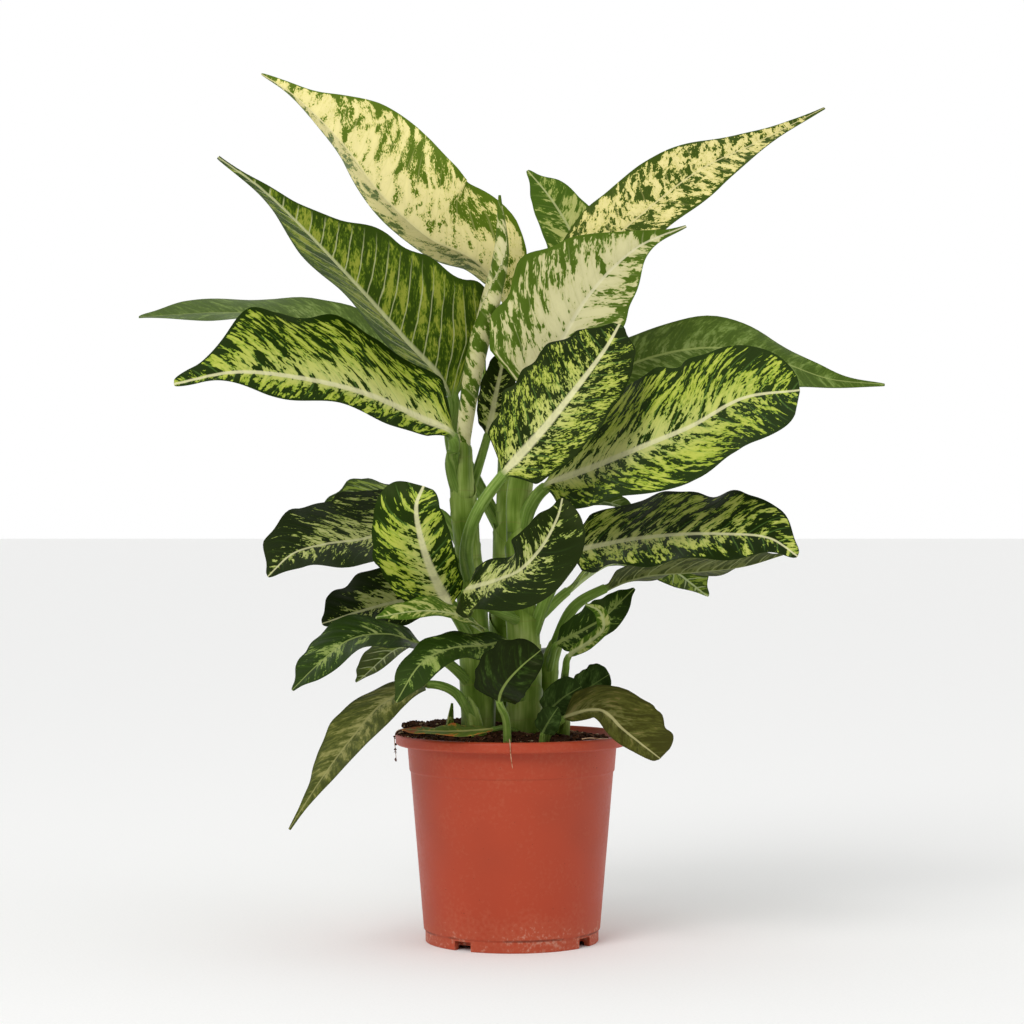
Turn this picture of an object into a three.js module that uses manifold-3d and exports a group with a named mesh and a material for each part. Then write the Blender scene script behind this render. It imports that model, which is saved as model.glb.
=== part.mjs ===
// Potted dieffenbachia: nursery pot, soil, canes and leaves. Millimetres, +Z up.
// The origin is the centre of the pot's foot ring, on the ground.
import * as THREE from 'three';
import { mergeVertices } from 'three/addons/utils/BufferGeometryUtils.js';
import Module from 'manifold-3d';

const wasm = await Module();
wasm.setup();

// ---- driving dimensions -------------------------------------------------
const GAP = 0.3; // clearance between pieces that touch
const POT = {
  height: 153, lipRadius: 86, lipHeight: 8, neckRadius: 77.4, stepHeight: 125, stepRadius: 75,
  footRadius: 64, footHeight: 8, wall: 1.6, plate: 3, rise: 3, sides: 36,
  ring: 5, edge: 1.2, lipWall: 3.6, stepOut: 0.9, cove: 2.5, coveHeight: 4,
};
const NOTCH = { width: 14, height: 7, depth: 16, first: -124, count: 4 };
const DRAIN = { radius: 4.5, ring: 40, count: 6, sides: 10 };
const SOIL = {
  edge: 147, mound: 9, heap: 6, heapAt: [-30, 35], heapSpread: 34, rings: 5, sides: 26, clear: 0.6,
};
// Two low waves with no common period stand for the crumbled surface.
const CRUMBLE = { alongX: 0.19, shift: 1.3, alongY: 0.23, crossX: 0.31, crossY: 0.27, cross: 0.5 };
const BLADE = { thickness: 0.95, ribHalf: 2.4, ribShare: 0.35, ribDepth: 2.2, ribFade: 0.75, tipHalf: 0.9 };
const WAVE_PHASE = { left: 0.6, right: 2.4 };
// How steeply a blade widens at its base, where it is widest, and how much nearer the tip
// its right half is widest than its middle.
const OUTLINE = { rise: 0.55, peak: 0.43, skew: 0 };
// Where the narrowing towards the tip begins and ends, and how much of the width it takes.
const TIP = {
  plain: { from: 0.86, to: 0.97, pinch: 0.45 },
  drawn: { from: 0.55, to: 0.95, pinch: 0.8 },
  short: { from: 0.7, to: 0.92, pinch: 0.7 },
  blunt: { from: 0.9, to: 1, pinch: 0 },
};
const CANE_SIDES = 8;
const FURLED_STEPS = 12;
const ROUTE_SAMPLES = 400;
const RING = { spacing: 24, swell: 0.7, leastSteps: 4 }; // leaf scars round a cane

const RIB_EDGE = 0.5; // in across, this stands for the edge of the midrib and not for a share
const SAME_POINT = 1e-4;

// How finely a leaf is split.
const LARGE = {
  across: [-1, -0.62, -RIB_EDGE, 0, RIB_EDGE, 0.62, 1],
  stations: [0, 0.035, 0.09, 0.18, 0.29, 0.4, 0.51, 0.62, 0.73, 0.83, 0.91, 0.965, 1],
};
const MEDIUM = {
  across: [-1, -0.6, 0, 0.6, 1],
  stations: [0, 0.04, 0.1, 0.2, 0.32, 0.44, 0.56, 0.68, 0.8, 0.9, 0.96, 1],
};
const SMALL = { across: [-1, -0.6, 0, 0.6, 1], stations: [0, 0.06, 0.15, 0.3, 0.45, 0.6, 0.75, 0.89, 1] };
// A stalk swells where it clasps the cane and flattens over the first part of the blade.
const STALK = { steps: 3, swell: 0.35, blend: 0.09, flat: 0.8 };

const COLOR = {
  pot: 0xb04a34, soil: 0x2a1710, cane: 0x86a152, cream: 0xdcdc94, lime: 0x86a83c,
  dark: 0x2c5527, olive: 0x6f8048, pale: 0xa9bb6c, wilted: 0xc28a3a,
};

const ROUGHNESS = { pot: 0.45, soil: 0.95, cane: 0.5, leaf: 0.4 };

// ---- canes: [x, y, z, radius] up from inside the soil -------------------
const CANES = {
  cane_left: [
    [-24, -2, 100, 13], [-26, -4, 200, 11.5], [-31, -8, 270, 9.5],
    [-36, -12, 330, 8.5], [-36, -16, 372, 6.5],
  ],
  cane_center: [
    [8, -8, 100, 13.5], [9, -10, 200, 12], [6, -15, 270, 9.5],
    [5, -20, 325, 8.5], [9, -26, 356, 6.5],
  ],
  cane_right: [[30, 22, 100, 7], [28, 18, 160, 7], [27, 15, 200, 6.5], [33, 11, 224, 5]],
  cane_back: [[-8, 32, 100, 10], [-6, 33, 250, 9.5], [-2, 33, 340, 8.5], [2, 34, 400, 6.5]],
  cane_low_left: [[-24, -28, 100, 5.5], [-26, -29, 160, 5.5], [-32, -29, 182, 4]],
  cane_low_right: [[36, -14, 100, 4.5], [37, -15, 160, 4.5], [38, -20, 196, 3.5]],
};

// ---- leaves -------------------------------------------------------------
// stalk: from inside what carries it. rib: midrib from blade base to tip.
// left, right: half widths looking from base to tip. face: where the top side looks.
// fold: degrees that the left and right half rise from flat. wave: height of the edge waves.
// rise, peak, skew and tip, where given, stand in for those of OUTLINE and TIP.
const LEAVES = [
  {
    name: 'leaf_top_left', kind: 'cream', fine: true,
    stalk: [[-2, 33, 372], [-8, 24, 422]],
    rib: [
      [-2, 22, 468], [-26, 11, 502], [-62, 5, 520], [-97, 6, 552],
      [-128, 16, 593], [-166, 40, 632], [-191, 58, 650],
    ],
    left: 34, right: 54, face: [-0.15, -1, -0.1], fold: [-62, -6],
    wave: 3, waves: 2.5, radius: 4.5, tip: 'drawn',
  },
  {
    name: 'leaf_upper_left', kind: 'olive', fine: true,
    stalk: [[-36, -12, 338], [-45, 2, 372]],
    rib: [[-44, 4, 402], [-80, -26, 445], [-122, -72, 491], [-171, -118, 539], [-202, -140, 561]],
    left: 66, right: 38, face: [0.3, 0.8, 0.5], fold: [38, 34],
    wave: 3, waves: 2.5, radius: 4.5, peak: 0.31, tip: 'drawn', rise: 0.2, skew: 0.19,
  },
  {
    name: 'leaf_far_left', kind: 'dark',
    stalk: [[-6, 33, 300], [-30, 52, 345]],
    rib: [[-55, 62, 392], [-100, 85, 438], [-150, 95, 463], [-212, 95, 471], [-288, 85, 467]],
    left: 36, right: 34, face: [-0.1, -0.35, 0.93], fold: [8, 8],
    wave: 3, waves: 2, radius: 4.2, peak: 0.5,
  },
  {
    name: 'leaf_left_middle', kind: 'lime', fine: true,
    stalk: [[-35, -11, 318], [-44, -20, 350]],
    rib: [
      [-43, -34, 371], [-70, -42, 386], [-105, -66, 401],
      [-150, -92, 411], [-193, -112, 414], [-234, -128, 405],
    ],
    left: 22, right: 64, face: [0.2, -0.6, 0.8], fold: [-6, 14],
    wave: 3.5, waves: 2.5, radius: 4.5, peak: 0.45, rise: 0.38, tip: 'short',
  },
  {
    name: 'leaf_cream_center', kind: 'cream', fine: true,
    stalk: [[8, -24, 338], [13, -40, 374]],
    rib: [[15, -46, 398], [32, -38, 433], [56, -18, 475], [92, 3, 512], [130, 18, 530]],
    left: 53, right: 35, face: [0.1, -0.95, 0.3], fold: [6, 6],
    wave: 3, waves: 2.5, radius: 4.5, peak: 0.3, tip: 'drawn', rise: 0.4,
  },
  {
    name: 'leaf_top_right', kind: 'cream', fine: true,
    stalk: [[3, 34, 388], [13, 43, 424]],
    rib: [[14, 40, 454], [48, 40, 496], [97, 45, 541], [143, 58, 577], [187, 77, 600], [244, 110, 632]],
    left: 32, right: 28, face: [-0.25, -0.85, 0.45], fold: [8, 8],
    wave: 2.5, waves: 2.5, radius: 4.5, peak: 0.38, tip: 'drawn',
  },
  {
    name: 'leaf_back_top', kind: 'pale',
    stalk: [[-2, 33, 362], [30, 68, 404]],
    rib: [[54, 78, 443], [58, 86, 480], [50, 98, 524], [31, 109, 560], [12, 116, 584]],
    left: 26, right: 26, face: [0.2, -0.9, 0.3], fold: [8, 8],
    wave: 2, waves: 2, radius: 3.6,
  },
  {
    name: 'leaf_dark_center', kind: 'dark', fine: true,
    stalk: [[-31, -8, 262], [-33, -42, 290], [-24, -74, 318]],
    rib: [[-6, -90, 343], [24, -98, 377], [47, -92, 406], [68, -74, 435], [77, -63, 451]],
    left: 38, right: 32, face: [-0.1, -0.9, 0.4], fold: [4, 4],
    wave: 2.5, waves: 2, radius: 4, rise: 0.35,
  },
  {
    name: 'leaf_right_big', kind: 'lime', fine: true,
    stalk: [[6, -17, 296], [13, -31, 320]],
    rib: [
      [24, -40, 334], [60, -60, 349], [96, -82, 364],
      [127, -96, 377], [162, -110, 396], [200, -122, 401],
    ],
    left: 62, right: 58, face: [-0.2, -0.7, 0.68], fold: [8, 8],
    wave: 3.5, waves: 2.5, radius: 4.5, rise: 0.4, peak: 0.54, tip: 'blunt', skew: 0.1,
  },
  {
    name: 'leaf_right_back', kind: 'dark',
    stalk: [[-3, 33, 312], [26, 32, 370]],
    rib: [[50, 36, 404], [97, 47, 431], [155, 62, 442], [202, 74, 433], [245, 84, 419], [288, 88, 415]],
    left: 28, right: 38, face: [0, -0.72, 0.69], fold: [8, -6],
    wave: 3, waves: 2.5, radius: 4, tip: 'drawn',
  },
  {
    name: 'leaf_right_middle', kind: 'lime', fine: true,
    stalk: [[9, -10, 208], [22, -18, 246], [32, -24, 268]],
    rib: [
      [40, -30, 284], [72, -48, 294], [112, -82, 300],
      [148, -108, 301], [179, -126, 298], [197, -134, 286],
    ],
    left: 42, right: 33, face: [0.05, -0.75, 0.66], fold: [6, 6],
    wave: 3, waves: 3, radius: 4, rise: 0.4,
  },
  {
    name: 'leaf_right_under', kind: 'olive',
    stalk: [[31, 12, 214], [46, 7, 246]],
    rib: [[69, 4, 260], [98, 3, 270], [135, 6, 273], [173, 12, 277], [202, 18, 285]],
    left: 32, right: 32, face: [0, 0.3, 0.95], fold: [10, 10],
    wave: 3, waves: 2.5, radius: 3.6,
  },
  {
    name: 'leaf_left_dark', kind: 'dark',
    stalk: [[-32, -9, 282], [-44, 2, 304]],
    rib: [
      [-56, 8, 316], [-84, -2, 306], [-108, -16, 297],
      [-136, -30, 293], [-159, -42, 286], [-176, -50, 270],
    ],
    left: 40, right: 52, face: [-0.1, -0.6, 0.8], fold: [6, 6],
    wave: 3, waves: 2.5, radius: 4, rise: 0.4, peak: 0.38,
  },
  {
    name: 'leaf_left_facing', kind: 'lime',
    stalk: [[-26, -5, 212], [-37, -26, 234]],
    rib: [[-45, -38, 248], [-55, -54, 268], [-64, -70, 294], [-68, -77, 321], [-63, -73, 335]],
    left: 34, right: 21, face: [-0.2, -0.95, 0.2], fold: [6, 6],
    wave: 2, waves: 2, radius: 3.6, rise: 0.4, peak: 0.55, tip: 'blunt',
  },
  {
    name: 'leaf_left_lower_middle', kind: 'dark',
    stalk: [[-28, -6, 232], [-42, 2, 246]],
    rib: [[-54, 8, 252], [-84, 8, 250], [-112, 2, 243], [-140, -6, 234]],
    left: 26, right: 36, face: [-0.1, -0.65, 0.75], fold: [4, 4],
    wave: 2.5, waves: 2, radius: 3.4, rise: 0.4,
  },
  {
    name: 'leaf_left_hanging', kind: 'dark',
    stalk: [[-26, -29, 162], [-42, -38, 186]],
    rib: [[-61, -46, 192], [-91, -70, 181], [-113, -94, 157], [-133, -114, 130], [-154, -130, 97]],
    left: 23, right: 23, face: [-0.45, -0.55, 0.7], fold: [6, 6],
    wave: 2, waves: 2, radius: 3, peak: 0.36, rise: 0.45, tip: 'drawn',
  },
  {
    name: 'leaf_left_lower', kind: 'dark',
    stalk: [[-25, -4, 184], [-44, -20, 204]],
    rib: [[-64, -33, 218], [-88, -46, 228], [-116, -60, 225], [-138, -72, 208], [-156, -80, 190]],
    left: 26, right: 26, face: [-0.3, -0.5, 0.8], fold: [6, 6],
    wave: 2.5, waves: 2, radius: 3.4,
  },
  {
    name: 'leaf_center_front', kind: 'dark',
    stalk: [[7, -13, 236], [-12, -46, 246]],
    rib: [
      [-33, -68, 259], [-11, -92, 268], [6, -112, 276],
      [22, -124, 294], [32, -128, 314], [35, -124, 326],
    ],
    left: 20, right: 40, face: [0, -0.8, 0.6], fold: [14, 14],
    wave: 2, waves: 2, radius: 3.4, rise: 0.4,
  },
  {
    name: 'leaf_left_low', kind: 'dark', small: true,
    stalk: [[8, -9, 168], [4, -38, 200]],
    rib: [[-1, -54, 222], [-21, -70, 221], [-44, -92, 220], [-64, -114, 210], [-80, -128, 185]],
    left: 20, right: 16, face: [-0.3, -0.75, 0.6], fold: [6, 6],
    wave: 1.5, waves: 2, radius: 2.8, rise: 0.4,
  },
  {
    name: 'leaf_left_pale', kind: 'pale', small: true,
    stalk: [[8, -10, 190], [-6, -34, 212]],
    rib: [[-20, -50, 231], [-41, -64, 243], [-65, -78, 246], [-96, -92, 242]],
    left: 18, right: 18, face: [0.1, -0.35, 0.93], fold: [8, 8],
    wave: 1.5, waves: 2, radius: 2.8,
  },
  {
    name: 'leaf_front_heart', kind: 'dark', small: true,
    stalk: [[-4, -62, 112], [-4, -68, 166]],
    rib: [[-9, -88, 183], [-5, -101, 195], [6, -109, 208], [20, -113, 220]],
    left: 24, right: 15, face: [-0.1, -0.95, 0.2], fold: [6, 6],
    wave: 1, waves: 1.5, radius: 2.6, rise: 0.35, tip: 'blunt',
  },
  {
    name: 'leaf_right_small', kind: 'dark', small: true,
    stalk: [[27, 15, 196], [29, 0, 208]],
    rib: [[33, -12, 219], [50, -22, 229], [66, -30, 239], [89, -36, 261]],
    left: 15, right: 15, face: [-0.2, -0.8, 0.5], fold: [6, 6],
    wave: 1.5, waves: 2, radius: 2.6,
  },
  {
    name: 'leaf_right_curled', kind: 'pale', small: true,
    stalk: [[38, -19, 190], [39, -34, 202]],
    rib: [[41, -44, 212], [56, -52, 223], [66, -56, 233], [63, -58, 245], [53, -54, 250]],
    left: 5, right: 5, face: [-0.3, -0.8, 0.5], fold: [10, 10],
    wave: 1, waves: 1.5, radius: 2.4,
  },
  {
    name: 'leaf_round_right', kind: 'dark', small: true,
    stalk: [[37, -15, 158], [41, -16, 170]],
    rib: [[46, -18, 179], [58, -22, 189], [71, -28, 198]],
    left: 14, right: 13, face: [-0.3, -0.85, 0.4], fold: [4, 4],
    wave: 1, waves: 1.5, radius: 2.2, rise: 0.35, peak: 0.5, tip: 'blunt',
  },
  {
    name: 'leaf_round_front', kind: 'dark', small: true,
    stalk: [[24, -38, 112], [24, -39, 158]],
    rib: [[26, -37, 170], [36, -40, 181], [50, -43, 190]],
    left: 13, right: 14, face: [-0.2, -0.9, 0.35], fold: [4, 4],
    wave: 1, waves: 1.5, radius: 2.2, rise: 0.35, peak: 0.5, tip: 'blunt',
  },
  {
    name: 'leaf_soil_dark', kind: 'dark', small: true,
    stalk: [[20, -62, 126], [21, -63, 150]],
    rib: [[22, -65, 158], [27, -68, 168], [33, -70, 177]],
    left: 9, right: 9, face: [-0.2, -0.9, 0.35], fold: [6, 6],
    wave: 1, waves: 1.5, radius: 1.8,
  },
  {
    name: 'leaf_right_bottom', kind: 'olive', small: true,
    stalk: [[20, -54, 112], [25, -56, 155]],
    rib: [[37, -60, 168], [63, -72, 175], [79, -84, 162], [92, -92, 152], [104, -98, 143]],
    left: 32, right: 12, face: [0.15, -0.6, 0.78], fold: [4, 4],
    wave: 1.5, waves: 2, radius: 2.6, rise: 0.4, peak: 0.55, tip: 'blunt',
  },
  {
    name: 'leaf_back_small_right', kind: 'pale', small: true,
    stalk: [[-5, 33, 268], [24, 38, 304]],
    rib: [[45, 40, 320], [65, 48, 326], [93, 58, 319]],
    left: 12, right: 12, face: [0, 0.4, 0.9], fold: [8, 8],
    wave: 1, waves: 1.5, radius: 2.6,
  },
  {
    name: 'leaf_wilted', kind: 'wilted', small: true,
    stalk: [[8, -9, 152], [-5, -38, 160]],
    rib: [[-14, -64, 161], [-34, -76, 160.5], [-56, -71, 160], [-79, -52, 160]],
    left: 9, right: 9, face: [0, -0.3, 0.95], fold: [6, 6],
    wave: 1, waves: 2, radius: 1.8,
  },
  {
    name: 'leaf_inner_dark', kind: 'dark', small: true,
    stalk: [[-34, -10, 322], [-25, 2, 350]],
    rib: [[-18, 6, 374], [-12, 8, 404], [-4, 10, 440]],
    left: 12, right: 13, face: [0, -0.95, 0.2], fold: [6, 6],
    wave: 1.5, waves: 1.5, radius: 3,
  },
  {
    name: 'leaf_back_high', kind: 'lime',
    stalk: [[-4, 33, 352], [-16, 58, 392]],
    rib: [[-20, 72, 418], [-40, 100, 452], [-64, 128, 474], [-92, 150, 478]],
    left: 30, right: 30, face: [0.1, 0.6, 0.8], fold: [8, 8],
    wave: 2.5, waves: 2, radius: 3.8,
  },
  {
    name: 'leaf_back_left', kind: 'dark',
    stalk: [[-7, 33, 232], [-24, 54, 270]],
    rib: [[-38, 64, 294], [-72, 92, 318], [-114, 124, 320], [-156, 148, 298]],
    left: 38, right: 34, face: [-0.1, 0.5, 0.85], fold: [8, 8],
    wave: 2.5, waves: 2, radius: 3.8,
  },
  {
    name: 'leaf_back_right', kind: 'dark',
    stalk: [[-6, 33, 212], [22, 54, 238]],
    rib: [[42, 64, 256], [78, 92, 278], [118, 124, 276], [156, 148, 250]],
    left: 34, right: 38, face: [0.1, 0.5, 0.85], fold: [8, 8],
    wave: 2.5, waves: 2, radius: 3.6,
  },
  {
    name: 'leaf_back_low', kind: 'dark', small: true,
    stalk: [[-8, 32, 164], [2, 56, 186]],
    rib: [[8, 68, 196], [14, 100, 208], [20, 138, 190]],
    left: 22, right: 22, face: [0, 0.5, 0.85], fold: [6, 6],
    wave: 1.5, waves: 1.5, radius: 2.8,
  },
  {
    name: 'leaf_back_low_left', kind: 'dark', small: true,
    stalk: [[-8, 32, 178], [-36, 44, 194]],
    rib: [[-52, 54, 204], [-84, 84, 214], [-122, 114, 184]],
    left: 20, right: 20, face: [-0.3, 0.4, 0.85], fold: [6, 6],
    wave: 1.5, waves: 1.5, radius: 2.8,
  },
];

// ---- furled pieces: [x, y, z, radius] from base to point ----------------
const FURLED = {
  leaf_rolled: [
    [-35, -16, 373.2, 5.5], [-27, -22, 426, 7.2], [-16, -26, 470, 7.4],
    [-8, -27, 506, 5.6], [-9, -26, 548, 1],
  ],
  shoot_left: [[-46, -12, 118, 3.4], [-46, -12, 156, 3.4], [-44, -13, 176, 0.9]],
};

// ---- solids -------------------------------------------------------------
function vector(point) {
  return new THREE.Vector3(point[0], point[1], point[2]);
}

function toSolid(geometry) {
  const bare = geometry.clone();
  bare.deleteAttribute('normal');
  bare.deleteAttribute('uv');
  const merged = mergeVertices(bare, SAME_POINT);
  return new wasm.Manifold(new wasm.Mesh({
    numProp: 3,
    vertProperties: new Float32Array(merged.attributes.position.array),
    triVerts: new Uint32Array(merged.index.array),
  }));
}

function toGeometry(solid) {
  const mesh = solid.getMesh();
  const geometry = new THREE.BufferGeometry();
  geometry.setAttribute('position', new THREE.BufferAttribute(new Float32Array(mesh.vertProperties), 3));
  geometry.setIndex(new THREE.BufferAttribute(new Uint32Array(mesh.triVerts), 1));
  return geometry;
}

function largest(solid) {
  const bodies = solid.decompose();
  return bodies.reduce((best, body) => (body.volume() > best.volume() ? body : best));
}

// A closed skin over rings that each hold an upper and a lower row of points.
function skin(rings) {
  const across = rings[0].upper.length;
  const points = [];
  for (const ring of rings) points.push(...ring.upper, ...ring.lower);
  const up = (k, j) => k * 2 * across + j;
  const low = (k, j) => up(k, j) + across;
  const faces = [];
  const quad = (a, b, c, d) => faces.push(a, b, c, a, c, d);
  for (let k = 0; k < rings.length - 1; k += 1) {
    for (let j = 0; j < across - 1; j += 1) {
      quad(up(k, j), up(k, j + 1), up(k + 1, j + 1), up(k + 1, j));
      faces.push(low(k, j), low(k + 1, j + 1), low(k, j + 1), low(k, j), low(k + 1, j), low(k + 1, j + 1));
    }
    quad(up(k, 0), up(k + 1, 0), low(k + 1, 0), low(k, 0));
    quad(up(k, across - 1), low(k, across - 1), low(k + 1, across - 1), up(k + 1, across - 1));
  }
  const last = rings.length - 1;
  for (let j = 0; j < across - 1; j += 1) {
    quad(up(0, j), low(0, j), low(0, j + 1), up(0, j + 1));
    quad(up(last, j), up(last, j + 1), low(last, j + 1), low(last, j));
  }
  const geometry = new THREE.BufferGeometry();
  const places = points.flatMap((p) => [p.x, p.y, p.z]);
  geometry.setAttribute('position', new THREE.Float32BufferAttribute(places, 3));
  geometry.setIndex(faces);
  return geometry;
}

// A round loft through [x, y, z, radius] points, swollen by grow and longer by grow at both ends.
function roundLoft(route, sides, steps, grow, ripple) {
  const curve = new THREE.CatmullRomCurve3(route.map(vector), false, 'centripetal');
  const rings = [];
  for (let k = 0; k <= steps; k += 1) {
    const t = k / steps;
    const place = t * (route.length - 1);
    const from = Math.min(Math.floor(place), route.length - 2);
    const radius = THREE.MathUtils.lerp(route[from][3], route[from + 1][3], place - from) + grow + ripple(t);
    const tangent = curve.getTangent(t);
    const center = curve.getPoint(t);
    if (k === 0) center.addScaledVector(tangent, -grow);
    if (k === steps) center.addScaledVector(tangent, grow);
    rings.push(roundRing(center, tangent, new THREE.Vector3(0, -1, 0), radius, sides / 2));
  }
  return skin(rings);
}

function frameAt(tangent, face) {
  const normal = face.clone().addScaledVector(tangent, -face.dot(tangent)).normalize();
  return { normal, side: new THREE.Vector3().crossVectors(tangent, normal) };
}

function roundRing(center, tangent, face, radius, across) {
  const { normal, side } = frameAt(tangent, face);
  const upper = [];
  const lower = [];
  for (let j = 0; j < across; j += 1) {
    const angle = Math.PI * (1 - (j + 0.5) / across);
    const out = center.clone().addScaledVector(side, radius * Math.cos(angle));
    upper.push(out.clone().addScaledVector(normal, radius * Math.sin(angle)));
    lower.push(out.clone().addScaledVector(normal, -radius * Math.sin(angle)));
  }
  return { upper, lower };
}

// Half width of one side of a leaf's blade, 0 to 1, at v from its base to its tip.
function outline(leaf, v, isLeft) {
  const { rise, peak: middle, skew } = { ...OUTLINE, ...leaf };
  const tip = TIP[leaf.tip ?? 'plain'];
  const peak = middle + (isLeft ? -skew : skew);
  const fall = (rise * (1 - peak)) / peak;
  const shape = (x) => x ** rise * (1 - x) ** fall;
  const point = THREE.MathUtils.smoothstep(v, tip.from, tip.to);
  return (shape(v) / shape(peak)) * (1 - tip.pinch * point);
}

function bladeRing(leaf, center, tangent, face, v, across) {
  const { normal, side } = frameAt(tangent, face);
  const upper = [];
  const lower = [];
  for (const a of across) {
    const half = (a < 0 ? leaf.left : leaf.right) * outline(leaf, v, a < 0) + BLADE.tipHalf;
    const fold = THREE.MathUtils.degToRad(leaf.fold[a < 0 ? 0 : 1]);
    const rib = Math.min(BLADE.ribShare, BLADE.ribHalf / half);
    const reach = Math.abs(a) === RIB_EDGE ? Math.sign(a) * rib : a;
    const x = reach * half;
    const phase = a < 0 ? WAVE_PHASE.left : WAVE_PHASE.right;
    const swing = Math.sin(2 * Math.PI * leaf.waves * v + phase) * Math.sin(Math.PI * v);
    const ripple = leaf.wave * reach ** 2 * swing;
    const height = Math.abs(x) * Math.sin(fold) + ripple;
    const keel = a === 0 ? BLADE.ribDepth * (1 - BLADE.ribFade * v) : 0;
    const at = center.clone().addScaledVector(side, x * Math.cos(fold));
    upper.push(at.clone().addScaledVector(normal, height + BLADE.thickness / 2));
    lower.push(at.clone().addScaledVector(normal, height - BLADE.thickness / 2 - keel));
  }
  return { upper, lower };
}

function mixRings(round, flat, share) {
  const mix = (row) => round[row].map((point, j) => point.clone().lerp(flat[row][j], share));
  return { upper: mix('upper'), lower: mix('lower') };
}

function detailOf(leaf) {
  if (leaf.small) return SMALL;
  return leaf.fine ? LARGE : MEDIUM;
}

function leafCurve(leaf) {
  const points = [...leaf.stalk, ...leaf.rib].map(vector);
  const curve = new THREE.CatmullRomCurve3(points, false, 'centripetal');
  const lengths = curve.getLengths(ROUTE_SAMPLES);
  const bladeBase = Math.round((ROUTE_SAMPLES * leaf.stalk.length) / (points.length - 1));
  const start = lengths[bladeBase] / lengths[ROUTE_SAMPLES];
  return { curve, start };
}

function stalkRings(leaf, grow, across) {
  const { curve, start } = leafCurve(leaf);
  const rings = [];
  for (let k = 0; k <= STALK.steps; k += 1) {
    const u = (start * k) / STALK.steps;
    const radius = leaf.radius * (1 + STALK.swell * (1 - k / STALK.steps)) + grow;
    rings.push(roundRing(curve.getPointAt(u), curve.getTangentAt(u), vector(leaf.face), radius, across));
  }
  return rings;
}

function leafGeometry(leaf) {
  const detail = detailOf(leaf);
  const { curve, start } = leafCurve(leaf);
  const rings = stalkRings(leaf, 0, detail.across.length);
  for (const v of detail.stations.slice(1)) {
    const u = start + (1 - start) * v;
    const center = curve.getPointAt(u);
    const tangent = curve.getTangentAt(u);
    const face = vector(leaf.face);
    const flat = bladeRing(leaf, center, tangent, face, v, detail.across);
    const round = roundRing(center, tangent, face, leaf.radius * STALK.flat, detail.across.length);
    rings.push(mixRings(round, flat, Math.min(1, v / STALK.blend)));
  }
  return skin(rings);
}

// grow is 0 for the cane itself, or the clearance for what is cut round it.
function caneGeometry(route, grow) {
  const length = new THREE.CatmullRomCurve3(route.map(vector)).getLength();
  const steps = Math.max(RING.leastSteps, Math.round(length / RING.spacing));
  const scar = (t) => (grow || Math.round(t * steps) % 2 ? RING.swell : 0);
  return roundLoft(route, CANE_SIDES, steps, grow, scar);
}

function potGeometry() {
  const p = POT;
  const inner = p.wall;
  const base = p.rise + p.plate;
  const under = p.height - p.lipHeight;
  const profile = [
    [0, p.rise], [p.footRadius - p.ring, p.rise], [p.footRadius - p.ring + p.edge / 2, 0], [p.footRadius, 0],
    [p.footRadius, p.footHeight], [p.footRadius + p.edge, p.footHeight + p.edge],
    [p.stepRadius, p.stepHeight], [p.stepRadius + p.stepOut, p.stepHeight + p.edge],
    [p.neckRadius, under], [p.lipRadius - p.edge, under], [p.lipRadius, under + p.edge],
    [p.lipRadius, p.height - p.edge], [p.lipRadius - p.edge, p.height], [p.lipRadius - p.lipWall, p.height],
    [p.lipRadius - p.lipWall - p.edge, p.height - p.edge], [p.neckRadius - inner, under - p.edge],
    [p.stepRadius - inner, p.stepHeight], [p.footRadius + p.edge - inner, base + p.coveHeight],
    [p.footRadius - p.cove - inner, base], [0, base],
  ].map(([r, z]) => new THREE.Vector2(r, z));
  const turned = new THREE.LatheGeometry(profile, p.sides);
  turned.rotateX(Math.PI / 2);
  return turned;
}

function potSolid() {
  let solid = toSolid(potGeometry());
  for (let i = 0; i < NOTCH.count; i += 1) {
    const notch = new THREE.BoxGeometry(NOTCH.depth, NOTCH.width, 2 * NOTCH.height);
    notch.translate(POT.footRadius, 0, 0);
    notch.rotateZ(THREE.MathUtils.degToRad(NOTCH.first) + (2 * Math.PI * i) / NOTCH.count);
    solid = solid.subtract(toSolid(notch));
  }
  for (let i = 0; i < DRAIN.count; i += 1) {
    const through = 3 * (POT.plate + POT.rise);
    const hole = new THREE.CylinderGeometry(DRAIN.radius, DRAIN.radius, through, DRAIN.sides);
    hole.rotateX(Math.PI / 2);
    hole.translate(DRAIN.ring, 0, 0);
    hole.rotateZ((2 * Math.PI * i) / DRAIN.count);
    solid = solid.subtract(toSolid(hole));
  }
  return solid;
}

function soilHeight(x, y) {
  const r = Math.hypot(x, y) / POT.neckRadius;
  const heap = Math.hypot(x - SOIL.heapAt[0], y - SOIL.heapAt[1]) / SOIL.heapSpread;
  const c = CRUMBLE;
  const crumbs = Math.sin(x * c.alongX + c.shift) * Math.cos(y * c.alongY);
  const crossing = c.cross * Math.sin(x * c.crossX - y * c.crossY);
  const mound = SOIL.mound * Math.cos((Math.PI / 2) * Math.min(1, r));
  return SOIL.edge + mound + SOIL.heap * Math.exp(-heap * heap) + crumbs + crossing;
}

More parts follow.
